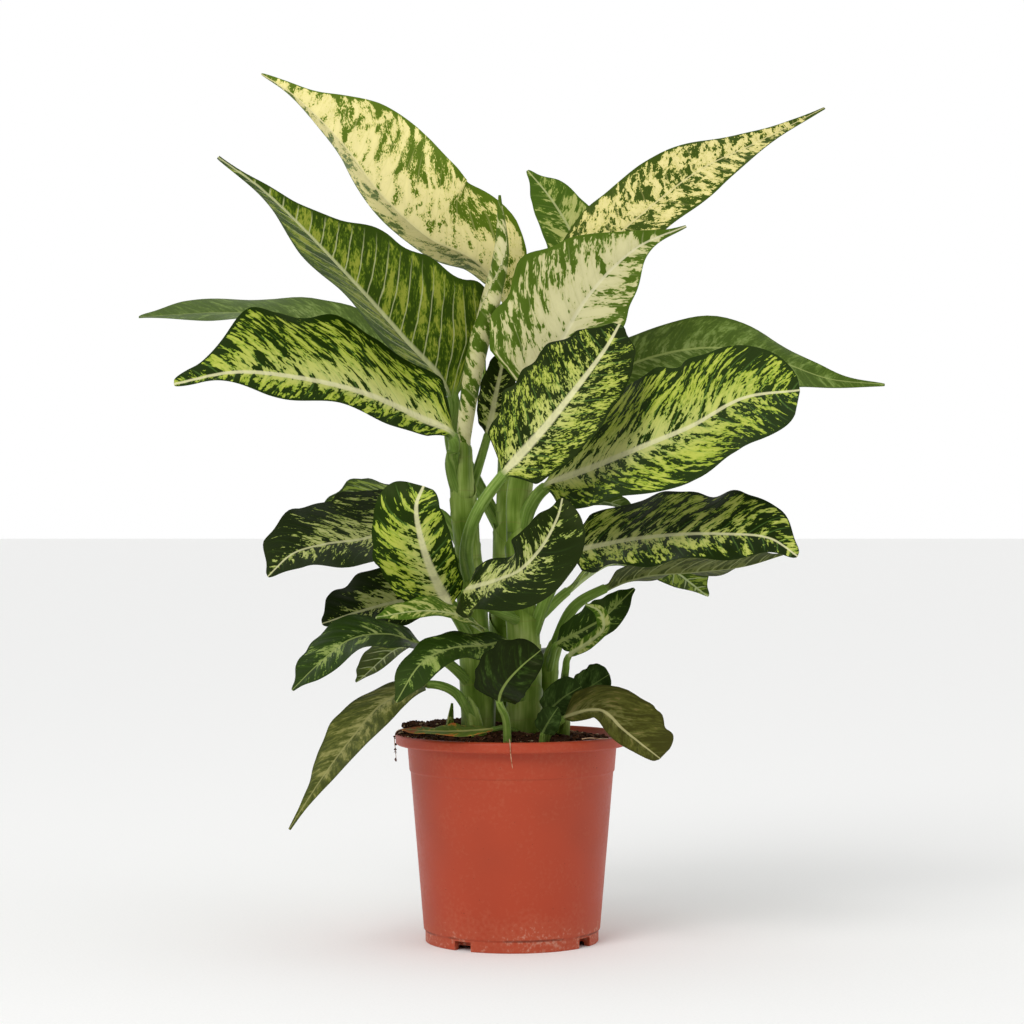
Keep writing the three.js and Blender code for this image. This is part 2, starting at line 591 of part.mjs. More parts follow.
function soilGeometry() {
  const p = POT;
  const base = p.rise + p.plate;
  const inward = p.wall + SOIL.clear; // the facets of pot and soil don't line up, so this is over the gap
  const rim = p.neckRadius - inward;
  const profile = [
    [0, base + GAP], [p.footRadius - p.cove - inward, base + GAP],
    [p.footRadius + p.edge - inward, base + p.coveHeight + GAP], [p.stepRadius - inward, p.stepHeight],
    [rim - p.edge / 2, p.height - p.lipHeight - p.edge],
  ];
  for (let k = SOIL.rings; k >= 0; k -= 1) {
    profile.push([(k / SOIL.rings) * (rim - p.edge / 2), SOIL.edge]);
  }
  const outlineOfSoil = profile.map(([r, z]) => new THREE.Vector2(r, z));
  const geometry = new THREE.LatheGeometry(outlineOfSoil, SOIL.sides);
  geometry.rotateX(Math.PI / 2);
  const at = geometry.attributes.position;
  for (let i = 0; i < at.count; i += 1) {
    if (Math.abs(at.getZ(i) - SOIL.edge) < SAME_POINT) at.setZ(i, soilHeight(at.getX(i), at.getY(i)));
  }
  return geometry;
}

// ---- assembly -----------------------------------------------------------
const plant = new THREE.Group();

function addPiece(name, solid, color, roughness) {
  const material = new THREE.MeshStandardMaterial({ color, roughness, metalness: 0, flatShading: true });
  const mesh = new THREE.Mesh(toGeometry(solid), material);
  mesh.name = name;
  plant.add(mesh);
}

const cutters = Object.values(CANES).map((route) => toSolid(caneGeometry(route, GAP)));
let soil = toSolid(soilGeometry());
for (const cutter of cutters) soil = soil.subtract(cutter);

addPiece('pot', potSolid(), COLOR.pot, ROUGHNESS.pot);
for (const [name, route] of Object.entries(CANES)) {
  addPiece(name, toSolid(caneGeometry(route, 0)), COLOR.cane, ROUGHNESS.cane);
}

for (const [name, route] of Object.entries(FURLED)) {
  const color = name === 'leaf_rolled' ? COLOR.cream : COLOR.pale;
  const furled = (grow) => toSolid(roundLoft(route, CANE_SIDES, FURLED_STEPS, grow, () => 0));
  addPiece(name, furled(0), color, ROUGHNESS.leaf);
  soil = soil.subtract(furled(GAP));
}

for (const leaf of LEAVES) {
  let solid = toSolid(leafGeometry(leaf));
  for (const cutter of cutters) solid = solid.subtract(cutter);
  addPiece(leaf.name, largest(solid), COLOR[leaf.kind], ROUGHNESS.leaf);
  soil = soil.subtract(toSolid(skin(stalkRings(leaf, GAP, detailOf(leaf).across.length))));
}
addPiece('soil', largest(soil), COLOR.soil, ROUGHNESS.soil);

export default plant;
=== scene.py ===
"""A potted dieffenbachia: fine leaves, canes, soil and pot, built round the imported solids.

Sizes are in millimetres until a mesh is made, then in metres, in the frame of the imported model.
"""

import logging
import math
import random
from dataclasses import dataclass
from enum import Enum
from typing import Any

import bpy
import numpy as np
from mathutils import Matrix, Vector, noise


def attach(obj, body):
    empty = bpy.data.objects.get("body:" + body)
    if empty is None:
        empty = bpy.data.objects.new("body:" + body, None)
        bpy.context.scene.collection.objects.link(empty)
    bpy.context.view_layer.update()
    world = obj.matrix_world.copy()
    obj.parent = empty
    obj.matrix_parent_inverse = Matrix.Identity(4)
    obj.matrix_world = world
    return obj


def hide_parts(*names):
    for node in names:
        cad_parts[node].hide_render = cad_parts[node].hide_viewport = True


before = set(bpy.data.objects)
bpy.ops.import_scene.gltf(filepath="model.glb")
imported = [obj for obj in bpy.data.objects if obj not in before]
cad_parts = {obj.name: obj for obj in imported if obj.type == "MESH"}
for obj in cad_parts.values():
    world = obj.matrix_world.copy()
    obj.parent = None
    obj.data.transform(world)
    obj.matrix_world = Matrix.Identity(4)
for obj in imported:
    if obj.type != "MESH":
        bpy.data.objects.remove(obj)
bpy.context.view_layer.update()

LOG = logging.getLogger("dieffenbachia")
MM = 0.001
BODY = "root"
SEED = 11
SHARP_EDGE = math.radians(48)

Colour = tuple[float, float, float, float]
Point = tuple[float, float, float]
Span = tuple[float, float]
Knot = tuple[float, float, float, float]  # x, y, z and radius
Faces = list[tuple[int, ...]]
Stops = tuple[tuple[float, str], ...]
Array = np.ndarray


# ---- shading helpers -----------------------------------------------------
def linear(code: str) -> Colour:
    """Turns an sRGB hex code into a linear colour.

    Args:
        code: a colour such as "#A84832".

    Returns:
        Red, green, blue and alpha, linear.
    """
    parts = [int(code[i:i + 2], 16) / 255 for i in (1, 3, 5)]
    red, green, blue = [c / 12.92 if c <= 0.04045 else ((c + 0.055) / 1.055) ** 2.4 for c in parts]
    return (red, green, blue, 1.0)


def add(
    tree: bpy.types.NodeTree, kind: str, links: dict[Any, Any] | None = None, stops: Stops = (),
    **settings: Any,
) -> Any:
    """Adds one node with its settings and links.

    Args:
        tree: the node tree that it goes into.
        kind: the node's type, without the words that all of them start with.
        links: what goes into each input, a socket or a plain value.
        stops: place and hex code of each stop, on a colour ramp.
        settings: the node's own attributes.

    Returns:
        The node's outputs.
    """
    node = tree.nodes.new("ShaderNode" + kind)
    for name, value in settings.items():
        setattr(node, name, value)
    if stops:
        row = node.color_ramp.elements
        row.remove(row[1])
        for index, (place, code) in enumerate(stops):
            stop = row.new(place) if index else row[0]
            stop.position = place
            stop.color = linear(code)
    for name, value in (links or {}).items():
        if isinstance(value, bpy.types.NodeSocket):
            tree.links.new(value, node.inputs[name])
        else:
            node.inputs[name].default_value = value
    return node.outputs


@dataclass(frozen=True)
class Finish:
    """What every finish of the plant and its pot has in common."""

    name: str
    ior: float = 1.45
    specular: float = 0.3
    sheen_of: str = "#FFFFFF"  # the colour that the gloss takes
    grain: float = 0.3  # how strongly the bump shows
    relief: float = 0.4  # how high the bump stands, in mm

    def material(self) -> bpy.types.Material:
        """Makes the finish's material, once.

        Returns:
            The material.
        """
        made = bpy.data.materials.get(self.name)
        if made:
            return made
        made = bpy.data.materials.new(self.name)
        made.use_nodes = True
        tree = made.node_tree
        tree.nodes.clear()
        colour, roughness, height = self.pattern(tree)
        bump = add(tree, "Bump", {"Height": height, "Strength": self.grain, "Distance": self.relief * MM})
        shader = add(
            tree, "BsdfPrincipled",
            {"Base Color": colour, "Roughness": roughness, "Normal": bump[0],
             "IOR": self.ior, "Specular IOR Level": self.specular, "Specular Tint": linear(self.sheen_of)},
        )
        add(tree, "OutputMaterial", {"Surface": shader[0]})
        return made

    def pattern(self, tree: bpy.types.NodeTree) -> tuple[Any, Any, Any]:
        """Draws the finish. Each finish has its own.

        Args:
            tree: the material's node tree.

        Returns:
            What goes into the shader's colour, its roughness and the bump's height.
        """
        raise NotImplementedError


@dataclass(frozen=True)
class LeafFinish(Finish):
    """A living dieffenbachia leaf: a waxy skin, flecked along its side veins, with a pale midrib.

    The eye sees a satin top with soft window lights on it, crisp flecks that run like brush
    strokes from the midrib, a dark margin, and a duller underside where the veins stand out pale.
    """

    top: Stops = ()
    under: Stops = ()
    specular: float = 0.22
    sheen_of: str = "#D8E29A"
    midrib: str = "#D8D5A4"
    heart: str = "#D2CE96"  # the pale zone beside the midrib
    heart_share: float = 0.6
    vein: str = "#6F9A45"
    under_vein: str = "#AEBD86"
    stalk: Stops = ((0.3, "#56722A"), (0.5, "#6E8A3A"), (0.72, "#90A458"))
    near: float = 0.58  # share of bright flecks at the midrib, where 0.5 is half
    far: float = 0.45  # the same towards the margin
    fade_from: float = 0.1
    fade_to: float = 0.9
    tip_fade: float = 0.16
    tip_span: Span = (0.72, 0.97)  # where the strokes thin out towards the tip
    margin_fade: float = 0.3
    margin: Span = (0.9, 0.985)  # where the strokes thin out, from the midrib to the margin
    inner: Span = (0.04, 0.5)  # where the pale zone beside the midrib fades, the same way
    early: Span = (0.3, 0.95)  # where it fades from base to tip
    bright: Span = (0.49, 0.54)  # the stroke levels that count as bright
    rib_half: float = 1.7  # mm
    rib_edge: Span = (0.7, 1.5)  # where the midrib's colour fades, in shares of that
    rib_cover: float = 0.92
    spacing: float = 12.0  # mm between side veins
    vein_edge: Span = (0.25, 0.95)  # mm from a side vein's middle over which it fades
    vein_end: Span = (0.55, 0.95)  # where it fades towards the margin
    vein_cover: Span = (0.28, 0.8)  # how strongly it shows on top and below
    wander: float = 5.0  # mm that a side vein strays
    fibre: Span = (38.0, 1.6)  # length and width in mm of a fibre in the stalk
    stalk_end: float = 0.035  # where the blade's colours take over, as a share of the blade
    tints: Span = (0.9, 1.08)  # how much darker and lighter the colour drifts
    blotch: Point = (8.0, 21.0, 1.4)  # width and length in mm of a patch, and its weight
    streak: Point = (3.0, 5.6, 1.0)
    speck: Point = (1.5, 2.0, 0.5)
    ragged: float = 0.7
    top_rough: float = 0.4
    under_rough: float = 0.58

    def pattern(self, tree: bpy.types.NodeTree) -> tuple[Any, Any, Any]:
        """Lays strokes, pale zone, veins and midrib over each other by the leaf's own coordinates.

        Args:
            tree: the material's node tree.

        Returns:
            Colour, roughness and height.
        """
        vein = add(tree, "Attribute", attribute_name="vein")["Vector"]
        place = add(tree, "Attribute", attribute_name="place")["Vector"]
        at = add(tree, "SeparateXYZ", {0: vein})
        share = add(tree, "SeparateXYZ", {0: place})
        level, (streaks, blotches, specks) = self.strokes(tree, vein, share)
        line = self.side_veins(tree, at[0], share[0], blotches)
        on_top, below = (
            add(tree, "Math", {0: line, 1: cover}, operation="MULTIPLY")[0] for cover in self.vein_cover
        )
        rib = self.rib(tree, at[1], share[1])
        pale = self.pale_zone(tree, level, share)
        top = add(tree, "ValToRGB", {0: level}, stops=self.top)[0]
        for cover, code in ((pale, self.heart), (on_top, self.vein), (rib, self.midrib)):
            top = add(tree, "Mix", {0: cover, 6: top, 7: linear(code)}, data_type="RGBA")[2]
        under = add(tree, "ValToRGB", {0: level}, stops=self.under)[0]
        for cover in (below, rib):
            under = add(tree, "Mix", {0: cover, 6: under, 7: linear(self.under_vein)}, data_type="RGBA")[2]
        blade = add(tree, "Mix", {0: share[2], 6: under, 7: top}, data_type="RGBA")[2]
        is_stalk = add(tree, "MapRange", {0: share[1], 1: 0.0, 2: self.stalk_end, 3: 1.0, 4: 0.0})[0]
        green = self.stalk_green(tree, vein)
        colour = add(tree, "Mix", {0: is_stalk, 6: blade, 7: green}, data_type="RGBA")[2]
        tint = add(tree, "MapRange", {0: blotches, 1: 0.3, 2: 0.7, 3: self.tints[0], 4: self.tints[1]})[0]
        colour = add(tree, "HueSaturation", {"Value": tint, "Color": colour})[0]
        skin = add(tree, "MapRange", {0: share[2], 3: self.under_rough, 4: self.top_rough})[0]
        rough = add(tree, "Math", {0: streaks, 1: 0.12, 2: skin}, operation="MULTIPLY_ADD")[0]
        sunk = add(tree, "Math", {0: line, 1: -0.8, 2: specks}, operation="MULTIPLY_ADD")[0]
        return colour, rough, sunk

    def strokes(self, tree: bpy.types.NodeTree, vein: Any, share: Any) -> tuple[Any, list[Any]]:
        """Adds up streaks, blotches and specks, thinned out towards the margin and the tip.

        Args:
            tree: the material's node tree.
            vein: mm along the side veins and from the midrib.
            share: the place from midrib to margin and from base to tip, each 0 to 1.

        Returns:
            The level, bright above about a half, and the noise of each of the three.
        """
        sizes = (self.streak, self.blotch, self.speck)
        noises = []
        for width, length, _ in sizes:
            spread = add(tree, "Mapping", {"Vector": vein, "Scale": (1 / width, 1 / length, 1.0)})[0]
            spots = add(
                tree, "TexNoise",
                {"Vector": spread, "Scale": 1.0, "Detail": 2.0, "Roughness": 0.5, "Distortion": self.ragged},
            )
            noises.append(spots[0])
        half = sum(weight for *_, weight in sizes) / 2
        level = add(
            tree, "MapRange",
            {0: share[0], 1: self.fade_from, 2: self.fade_to, 3: self.near - half, 4: self.far - half},
            interpolation_type="SMOOTHSTEP",
        )[0]
        for way, (start, end), fade in (
            (share[0], self.margin, self.margin_fade), (share[1], self.tip_span, self.tip_fade)
        ):
            thinned = add(tree, "MapRange", {0: way, 1: start, 2: end, 3: 0.0, 4: -fade})[0]
            level = add(tree, "Math", {0: level, 1: thinned}, operation="ADD")[0]
        for spots, (*_, weight) in zip(noises, sizes):
            level = add(tree, "Math", {0: spots, 1: weight, 2: level}, operation="MULTIPLY_ADD")[0]
        return level, noises

    def pale_zone(self, tree: bpy.types.NodeTree, level: Any, share: Any) -> Any:
        """Makes the bright flecks paler beside the midrib and near the base.

        Args:
            tree: the material's node tree.
            level: the level of the strokes.
            share: the place from midrib to margin and from base to tip, each 0 to 1.

        Returns:
            How much of the pale colour there is.
        """
        pale = add(tree, "MapRange", {0: level, 1: self.bright[0], 2: self.bright[1]})[0]
        for way, (start, end), most in (
            (share[0], self.inner, self.heart_share), (share[1], self.early, 1.0)
        ):
            part = add(tree, "MapRange", {0: way, 1: start, 2: end, 3: most, 4: 0.0})[0]
            pale = add(tree, "Math", {0: pale, 1: part}, operation="MULTIPLY")[0]
        return pale

    def side_veins(self, tree: bpy.types.NodeTree, along: Any, outward: Any, blotches: Any) -> Any:
        """Draws a line along each side vein, which fades towards the margin.

        Args:
            tree: the material's node tree.
            along: mm along the midrib at which a side vein starts.
            outward: the place from midrib to margin, 0 to 1.
            blotches: the noise by which the veins stray.

        Returns:
            How much of a vein there is.
        """
        strayed = add(tree, "Math", {0: blotches, 1: self.wander, 2: along}, operation="MULTIPLY_ADD")[0]
        to_vein = add(tree, "Math", {0: strayed, 1: self.spacing / 2}, operation="PINGPONG")[0]
        start, end = self.vein_edge
        line = add(
            tree, "MapRange", {0: to_vein, 1: start, 2: end, 3: 1.0, 4: 0.0}, interpolation_type="SMOOTHSTEP"
        )[0]
        start, end = self.vein_end
        fading = add(tree, "MapRange", {0: outward, 1: start, 2: end, 3: 1.0, 4: 0.0})[0]
        return add(tree, "Math", {0: line, 1: fading}, operation="MULTIPLY")[0]

    def rib(self, tree: bpy.types.NodeTree, beside: Any, v: Any) -> Any:
        """Draws the midrib, which tapers towards the tip.

        Args:
            tree: the material's node tree.
            beside: mm from the midrib.
            v: the place from base to tip, 0 to 1.

        Returns:
            How much of the midrib there is.
        """
        taper = add(tree, "Math", {0: v, 1: -0.8, 2: 1.05}, operation="MULTIPLY_ADD")[0]
        across = add(tree, "Math", {0: beside}, operation="ABSOLUTE")[0]
        ratio = add(tree, "Math", {0: across, 1: taper}, operation="DIVIDE")[0]
        start, end = (self.rib_half * part for part in self.rib_edge)
        return add(
            tree, "MapRange", {0: ratio, 1: start, 2: end, 3: self.rib_cover, 4: 0.0},
            interpolation_type="SMOOTHSTEP",
        )[0]

    def stalk_green(self, tree: bpy.types.NodeTree, vein: Any) -> Any:
        """Draws the fibres of the stalk.

        Args:
            tree: the material's node tree.
            vein: mm along and round the stalk.

        Returns:
            The colour.
        """
        length, width = self.fibre
        spread = add(tree, "Mapping", {"Vector": vein, "Scale": (1 / length, 1 / width, 1.0)})[0]
        fibres = add(tree, "TexNoise", {"Vector": spread, "Scale": 1.0, "Detail": 4.0})[0]
        return add(tree, "ValToRGB", {0: fibres}, stops=self.stalk)[0]


@dataclass(frozen=True)
class StemFinish(Finish):
    """A green dieffenbachia cane: smooth, waxy and juicy, with fine lengthwise fibres.

    The eye sees light and dark streaks in a yellow green, and thin brown lines where old leaves
    have dropped.
    """

    specular: float = 0.22
    sheen_of: str = "#D8E29A"
    streaks: Stops = ((0.3, "#4A621C"), (0.45, "#667F2E"), (0.57, "#849A48"), (0.7, "#A9B86C"))
    scar: str = "#7C6C3E"
    fibre: Span = (30.0, 1.4)  # length and width in mm
    patch: Span = (40.0, 12.0)  # the same for the light and dark patches
    wander: float = 6.0  # mm that a scar strays
    scar_edge: Span = (0.2, 0.7)  # mm from a scar's middle over which it fades
    scar_cover: float = 0.22
    scar_spacing: float = 24.0

    def pattern(self, tree: bpy.types.NodeTree) -> tuple[Any, Any, Any]:
        """Draws fibres and leaf scars from the distance along and round the cane.

        Args:
            tree: the material's node tree.

        Returns:
            Colour, roughness and height.
        """
        vein = add(tree, "Attribute", attribute_name="vein")["Vector"]
        at = add(tree, "SeparateXYZ", {0: vein})
        spots = []
        for (length, width), detail in ((self.fibre, 4.0), (self.patch, 2.0)):
            spread = add(tree, "Mapping", {"Vector": vein, "Scale": (1 / length, 1 / width, 1.0)})[0]
            spots.append(add(tree, "TexNoise", {"Vector": spread, "Scale": 1.0, "Detail": detail})[0])
        fibres, patches = spots
        both = add(tree, "Math", {0: fibres, 1: 0.3, 2: -0.13}, operation="MULTIPLY_ADD")[0]
        both = add(tree, "Math", {0: patches, 1: 0.95, 2: both}, operation="MULTIPLY_ADD")[0]
        green = add(tree, "ValToRGB", {0: both}, stops=self.streaks)[0]
        along = add(tree, "Math", {0: patches, 1: self.wander, 2: at[0]}, operation="MULTIPLY_ADD")[0]
        to_scar = add(tree, "Math", {0: along, 1: self.scar_spacing / 2}, operation="PINGPONG")[0]
        start, end = self.scar_edge
        line = add(tree, "MapRange", {0: to_scar, 1: start, 2: end, 3: self.scar_cover, 4: 0.0})[0]
        colour = add(tree, "Mix", {0: line, 6: green, 7: linear(self.scar)}, data_type="RGBA")[2]
        rough = add(tree, "MapRange", {0: patches, 1: 0.3, 2: 0.7, 3: 0.38, 4: 0.52})[0]
        high = add(tree, "Math", {0: line, 1: 0.8, 2: fibres}, operation="MULTIPLY_ADD")[0]
        return colour, rough, high


@dataclass(frozen=True)
class PotPlastic(Finish):
    """Injection moulded polypropylene, coloured through, as nursery pots are.

    The eye sees a satin terracotta skin with a soft haze, pale lime marks near the foot, a grimy
    seam, a few specks of soil, and hair scratches that run round the wall. A painted highlight
    thickens the haze and lime marks over the upper wall, collar and lip.
    """

    base: str = "#AE4124"
    deep: str = "#A83F23"
    haze: str = "#B96A4E"
    lime: str = "#D2AE98"
    dirt: str = "#3A1E14"
    grains: tuple[Span, ...] = ((60.0, 2.0), (2.6, 4.0), (1.6, 2.0), (26.0, 3.0))
    low: Span = (0.008, 0.036)  # heights in m between which the lime above the foot fades
    rim: Span = (0.112, 0.118)  # heights in m between which the painted highlight comes in, a paler haze over the upper wall, collar and lip
    seam: Span = (0.0088, 0.0009)  # height and half width in m of the grimy seam above the foot

    def pattern(self, tree: bpy.types.NodeTree) -> tuple[Any, Any, Any]:
        """Draws cloudy colour, haze with a painted highlight over the upper wall, collar and lip, lime marks,
        specks and scratches.

        Args:
            tree: the material's node tree.

        Returns:
            Colour, roughness and height.
        """
        place = add(tree, "TexCoord")["Object"]
        height = add(tree, "SeparateXYZ", {0: place})[2]
        clouds, marks, specks, patches = (
            add(tree, "TexNoise", {"Vector": place, "Scale": 1 / (grain * MM), "Detail": detail})[0]
            for grain, detail in self.grains
        )
        colour = add(tree, "ValToRGB", {0: clouds}, stops=((0.35, self.deep), (0.55, self.base)))[0]
        low = add(tree, "MapRange", {0: height, 1: self.low[0], 2: self.low[1], 3: 0.26, 4: 0.0})[0]
        # painted highlight: above the upper wall the haze and lime marks grow, so the collar and lip read
        # paler
        rim = add(tree, "MapRange", {0: height, 1: self.rim[0], 2: self.rim[1], 3: 0.0, 4: 0.07})[0]
        lime_and_highlight = add(tree, "Math", {0: low, 1: rim}, operation="ADD")[0]
        both = add(tree, "Math", {0: marks, 1: 0.7, 2: lime_and_highlight}, operation="MULTIPLY_ADD")[0]
        both = add(tree, "Math", {0: patches, 1: 0.45, 2: both}, operation="MULTIPLY_ADD")[0]
        hazed = add(tree, "MapRange", {0: both, 1: 0.62, 2: 0.95, 3: 0.0, 4: 0.4})[0]
        limed = add(tree, "MapRange", {0: both, 1: 0.86, 2: 0.97, 3: 0.0, 4: 0.36})[0]
        soiled = add(tree, "MapRange", {0: specks, 1: 0.745, 2: 0.77, 3: 0.0, 4: 0.7})[0]
        seam = add(tree, "Math", {0: height, 1: self.seam[0], 2: self.seam[1]}, operation="COMPARE")[0]
        grimy = add(tree, "MapRange", {0: patches, 1: 0.46, 2: 0.6, 3: 0.0, 4: 0.55})[0]
        grimy = add(tree, "Math", {0: seam, 1: grimy}, operation="MULTIPLY")[0]
        for share, code in ((hazed, self.haze), (limed, self.lime), (grimy, self.dirt), (soiled, self.dirt)):
            colour = add(tree, "Mix", {0: share, 6: colour, 7: linear(code)}, data_type="RGBA")[2]
        rough = add(tree, "MapRange", {0: both, 1: 0.5, 2: 0.9, 3: 0.4, 4: 0.62})[0]
        ring = add(tree, "Mapping", {"Vector": place, "Scale": (30.0, 30.0, 1800.0)})[0]
        scratches = add(tree, "TexNoise", {"Vector": ring, "Scale": 1.0, "Detail": 1.0})[0]
        high = add(tree, "Math", {0: limed, 1: 1.2, 2: scratches}, operation="MULTIPLY_ADD")[0]
        return colour, rough, high


@dataclass(frozen=True)
class PottingSoil(Finish):
    """Peat potting soil: crumbs of dark peat and bark with a few light grains.

    The eye sees a rough, matt, dark brown that never shines.
    """

    tones: Stops = (
        (0.0, "#24130B"), (0.35, "#47291B"), (0.7, "#6A4430"), (0.9, "#8A6248"), (0.97, "#BEA488"),
    )
    grain_mm: float = 2.2

    def pattern(self, tree: bpy.types.NodeTree) -> tuple[Any, Any, Any]:
        """Draws each crumb's own tone, broken up by fine grain.

        Args:
            tree: the material's node tree.

        Returns:
            Colour, roughness and height.
        """
        tone = add(tree, "Attribute", attribute_name="tone")["Fac"]
        place = add(tree, "TexCoord")["Object"]
        size = self.grain_mm * MM
        grain = add(tree, "TexNoise", {"Vector": place, "Scale": 1 / size, "Detail": 4.0})[0]
        both = add(tree, "Math", {0: grain, 1: 0.5, 2: -0.25}, operation="MULTIPLY_ADD")[0]
        both = add(tree, "Math", {0: both, 1: tone}, operation="ADD")[0]
        colour = add(tree, "ValToRGB", {0: both}, stops=self.tones)[0]
        return colour, 0.92, grain


@dataclass(frozen=True)
class RootFinish(Finish):
    """A fine dry root: the eye sees a dull, pale tan skin with darker bands."""

    bands: Stops = ((0.35, "#8A6242"), (0.6, "#D2AE8C"))

    def pattern(self, tree: bpy.types.NodeTree) -> tuple[Any, Any, Any]:
        """Draws short bands along the root.

        Args:
            tree: the material's node tree.

        Returns:
            Colour, roughness and height.
        """
        place = add(tree, "TexCoord")["Object"]
        band = add(tree, "TexNoise", {"Vector": place, "Scale": 1 / (3.0 * MM), "Detail": 2.0})[0]
        colour = add(tree, "ValToRGB", {0: band}, stops=self.bands)[0]
        return colour, 0.8, band


@dataclass(frozen=True)
class PaperFloor(Finish):
    """A matt white studio paper: the eye sees an even pale ground with a faint tooth."""

    tones: Stops = ((0.3, "#F8F8F7"), (0.7, "#FCFCFB"))

    def pattern(self, tree: bpy.types.NodeTree) -> tuple[Any, Any, Any]:
        """Draws the paper's tooth.

        Args:
            tree: the material's node tree.

        Returns:
            Colour, roughness and height.
        """
        place = add(tree, "TexCoord")["Object"]
        tooth = add(tree, "TexNoise", {"Vector": place, "Scale": 1 / (2.0 * MM), "Detail": 2.0})[0]
        colour = add(tree, "ValToRGB", {0: tooth}, stops=self.tones)[0]
        return colour, 0.9, tooth


class Slot(Enum):
    """The record's material slots of the leaves."""

    CREAM = "leaf_cream"
    LIME = "leaf_mottled"
    DARK = "leaf_dark"
    OLIVE = "leaf_underside"
    PALE = "leaf_pale"
    WILTED = "leaf_wilted"


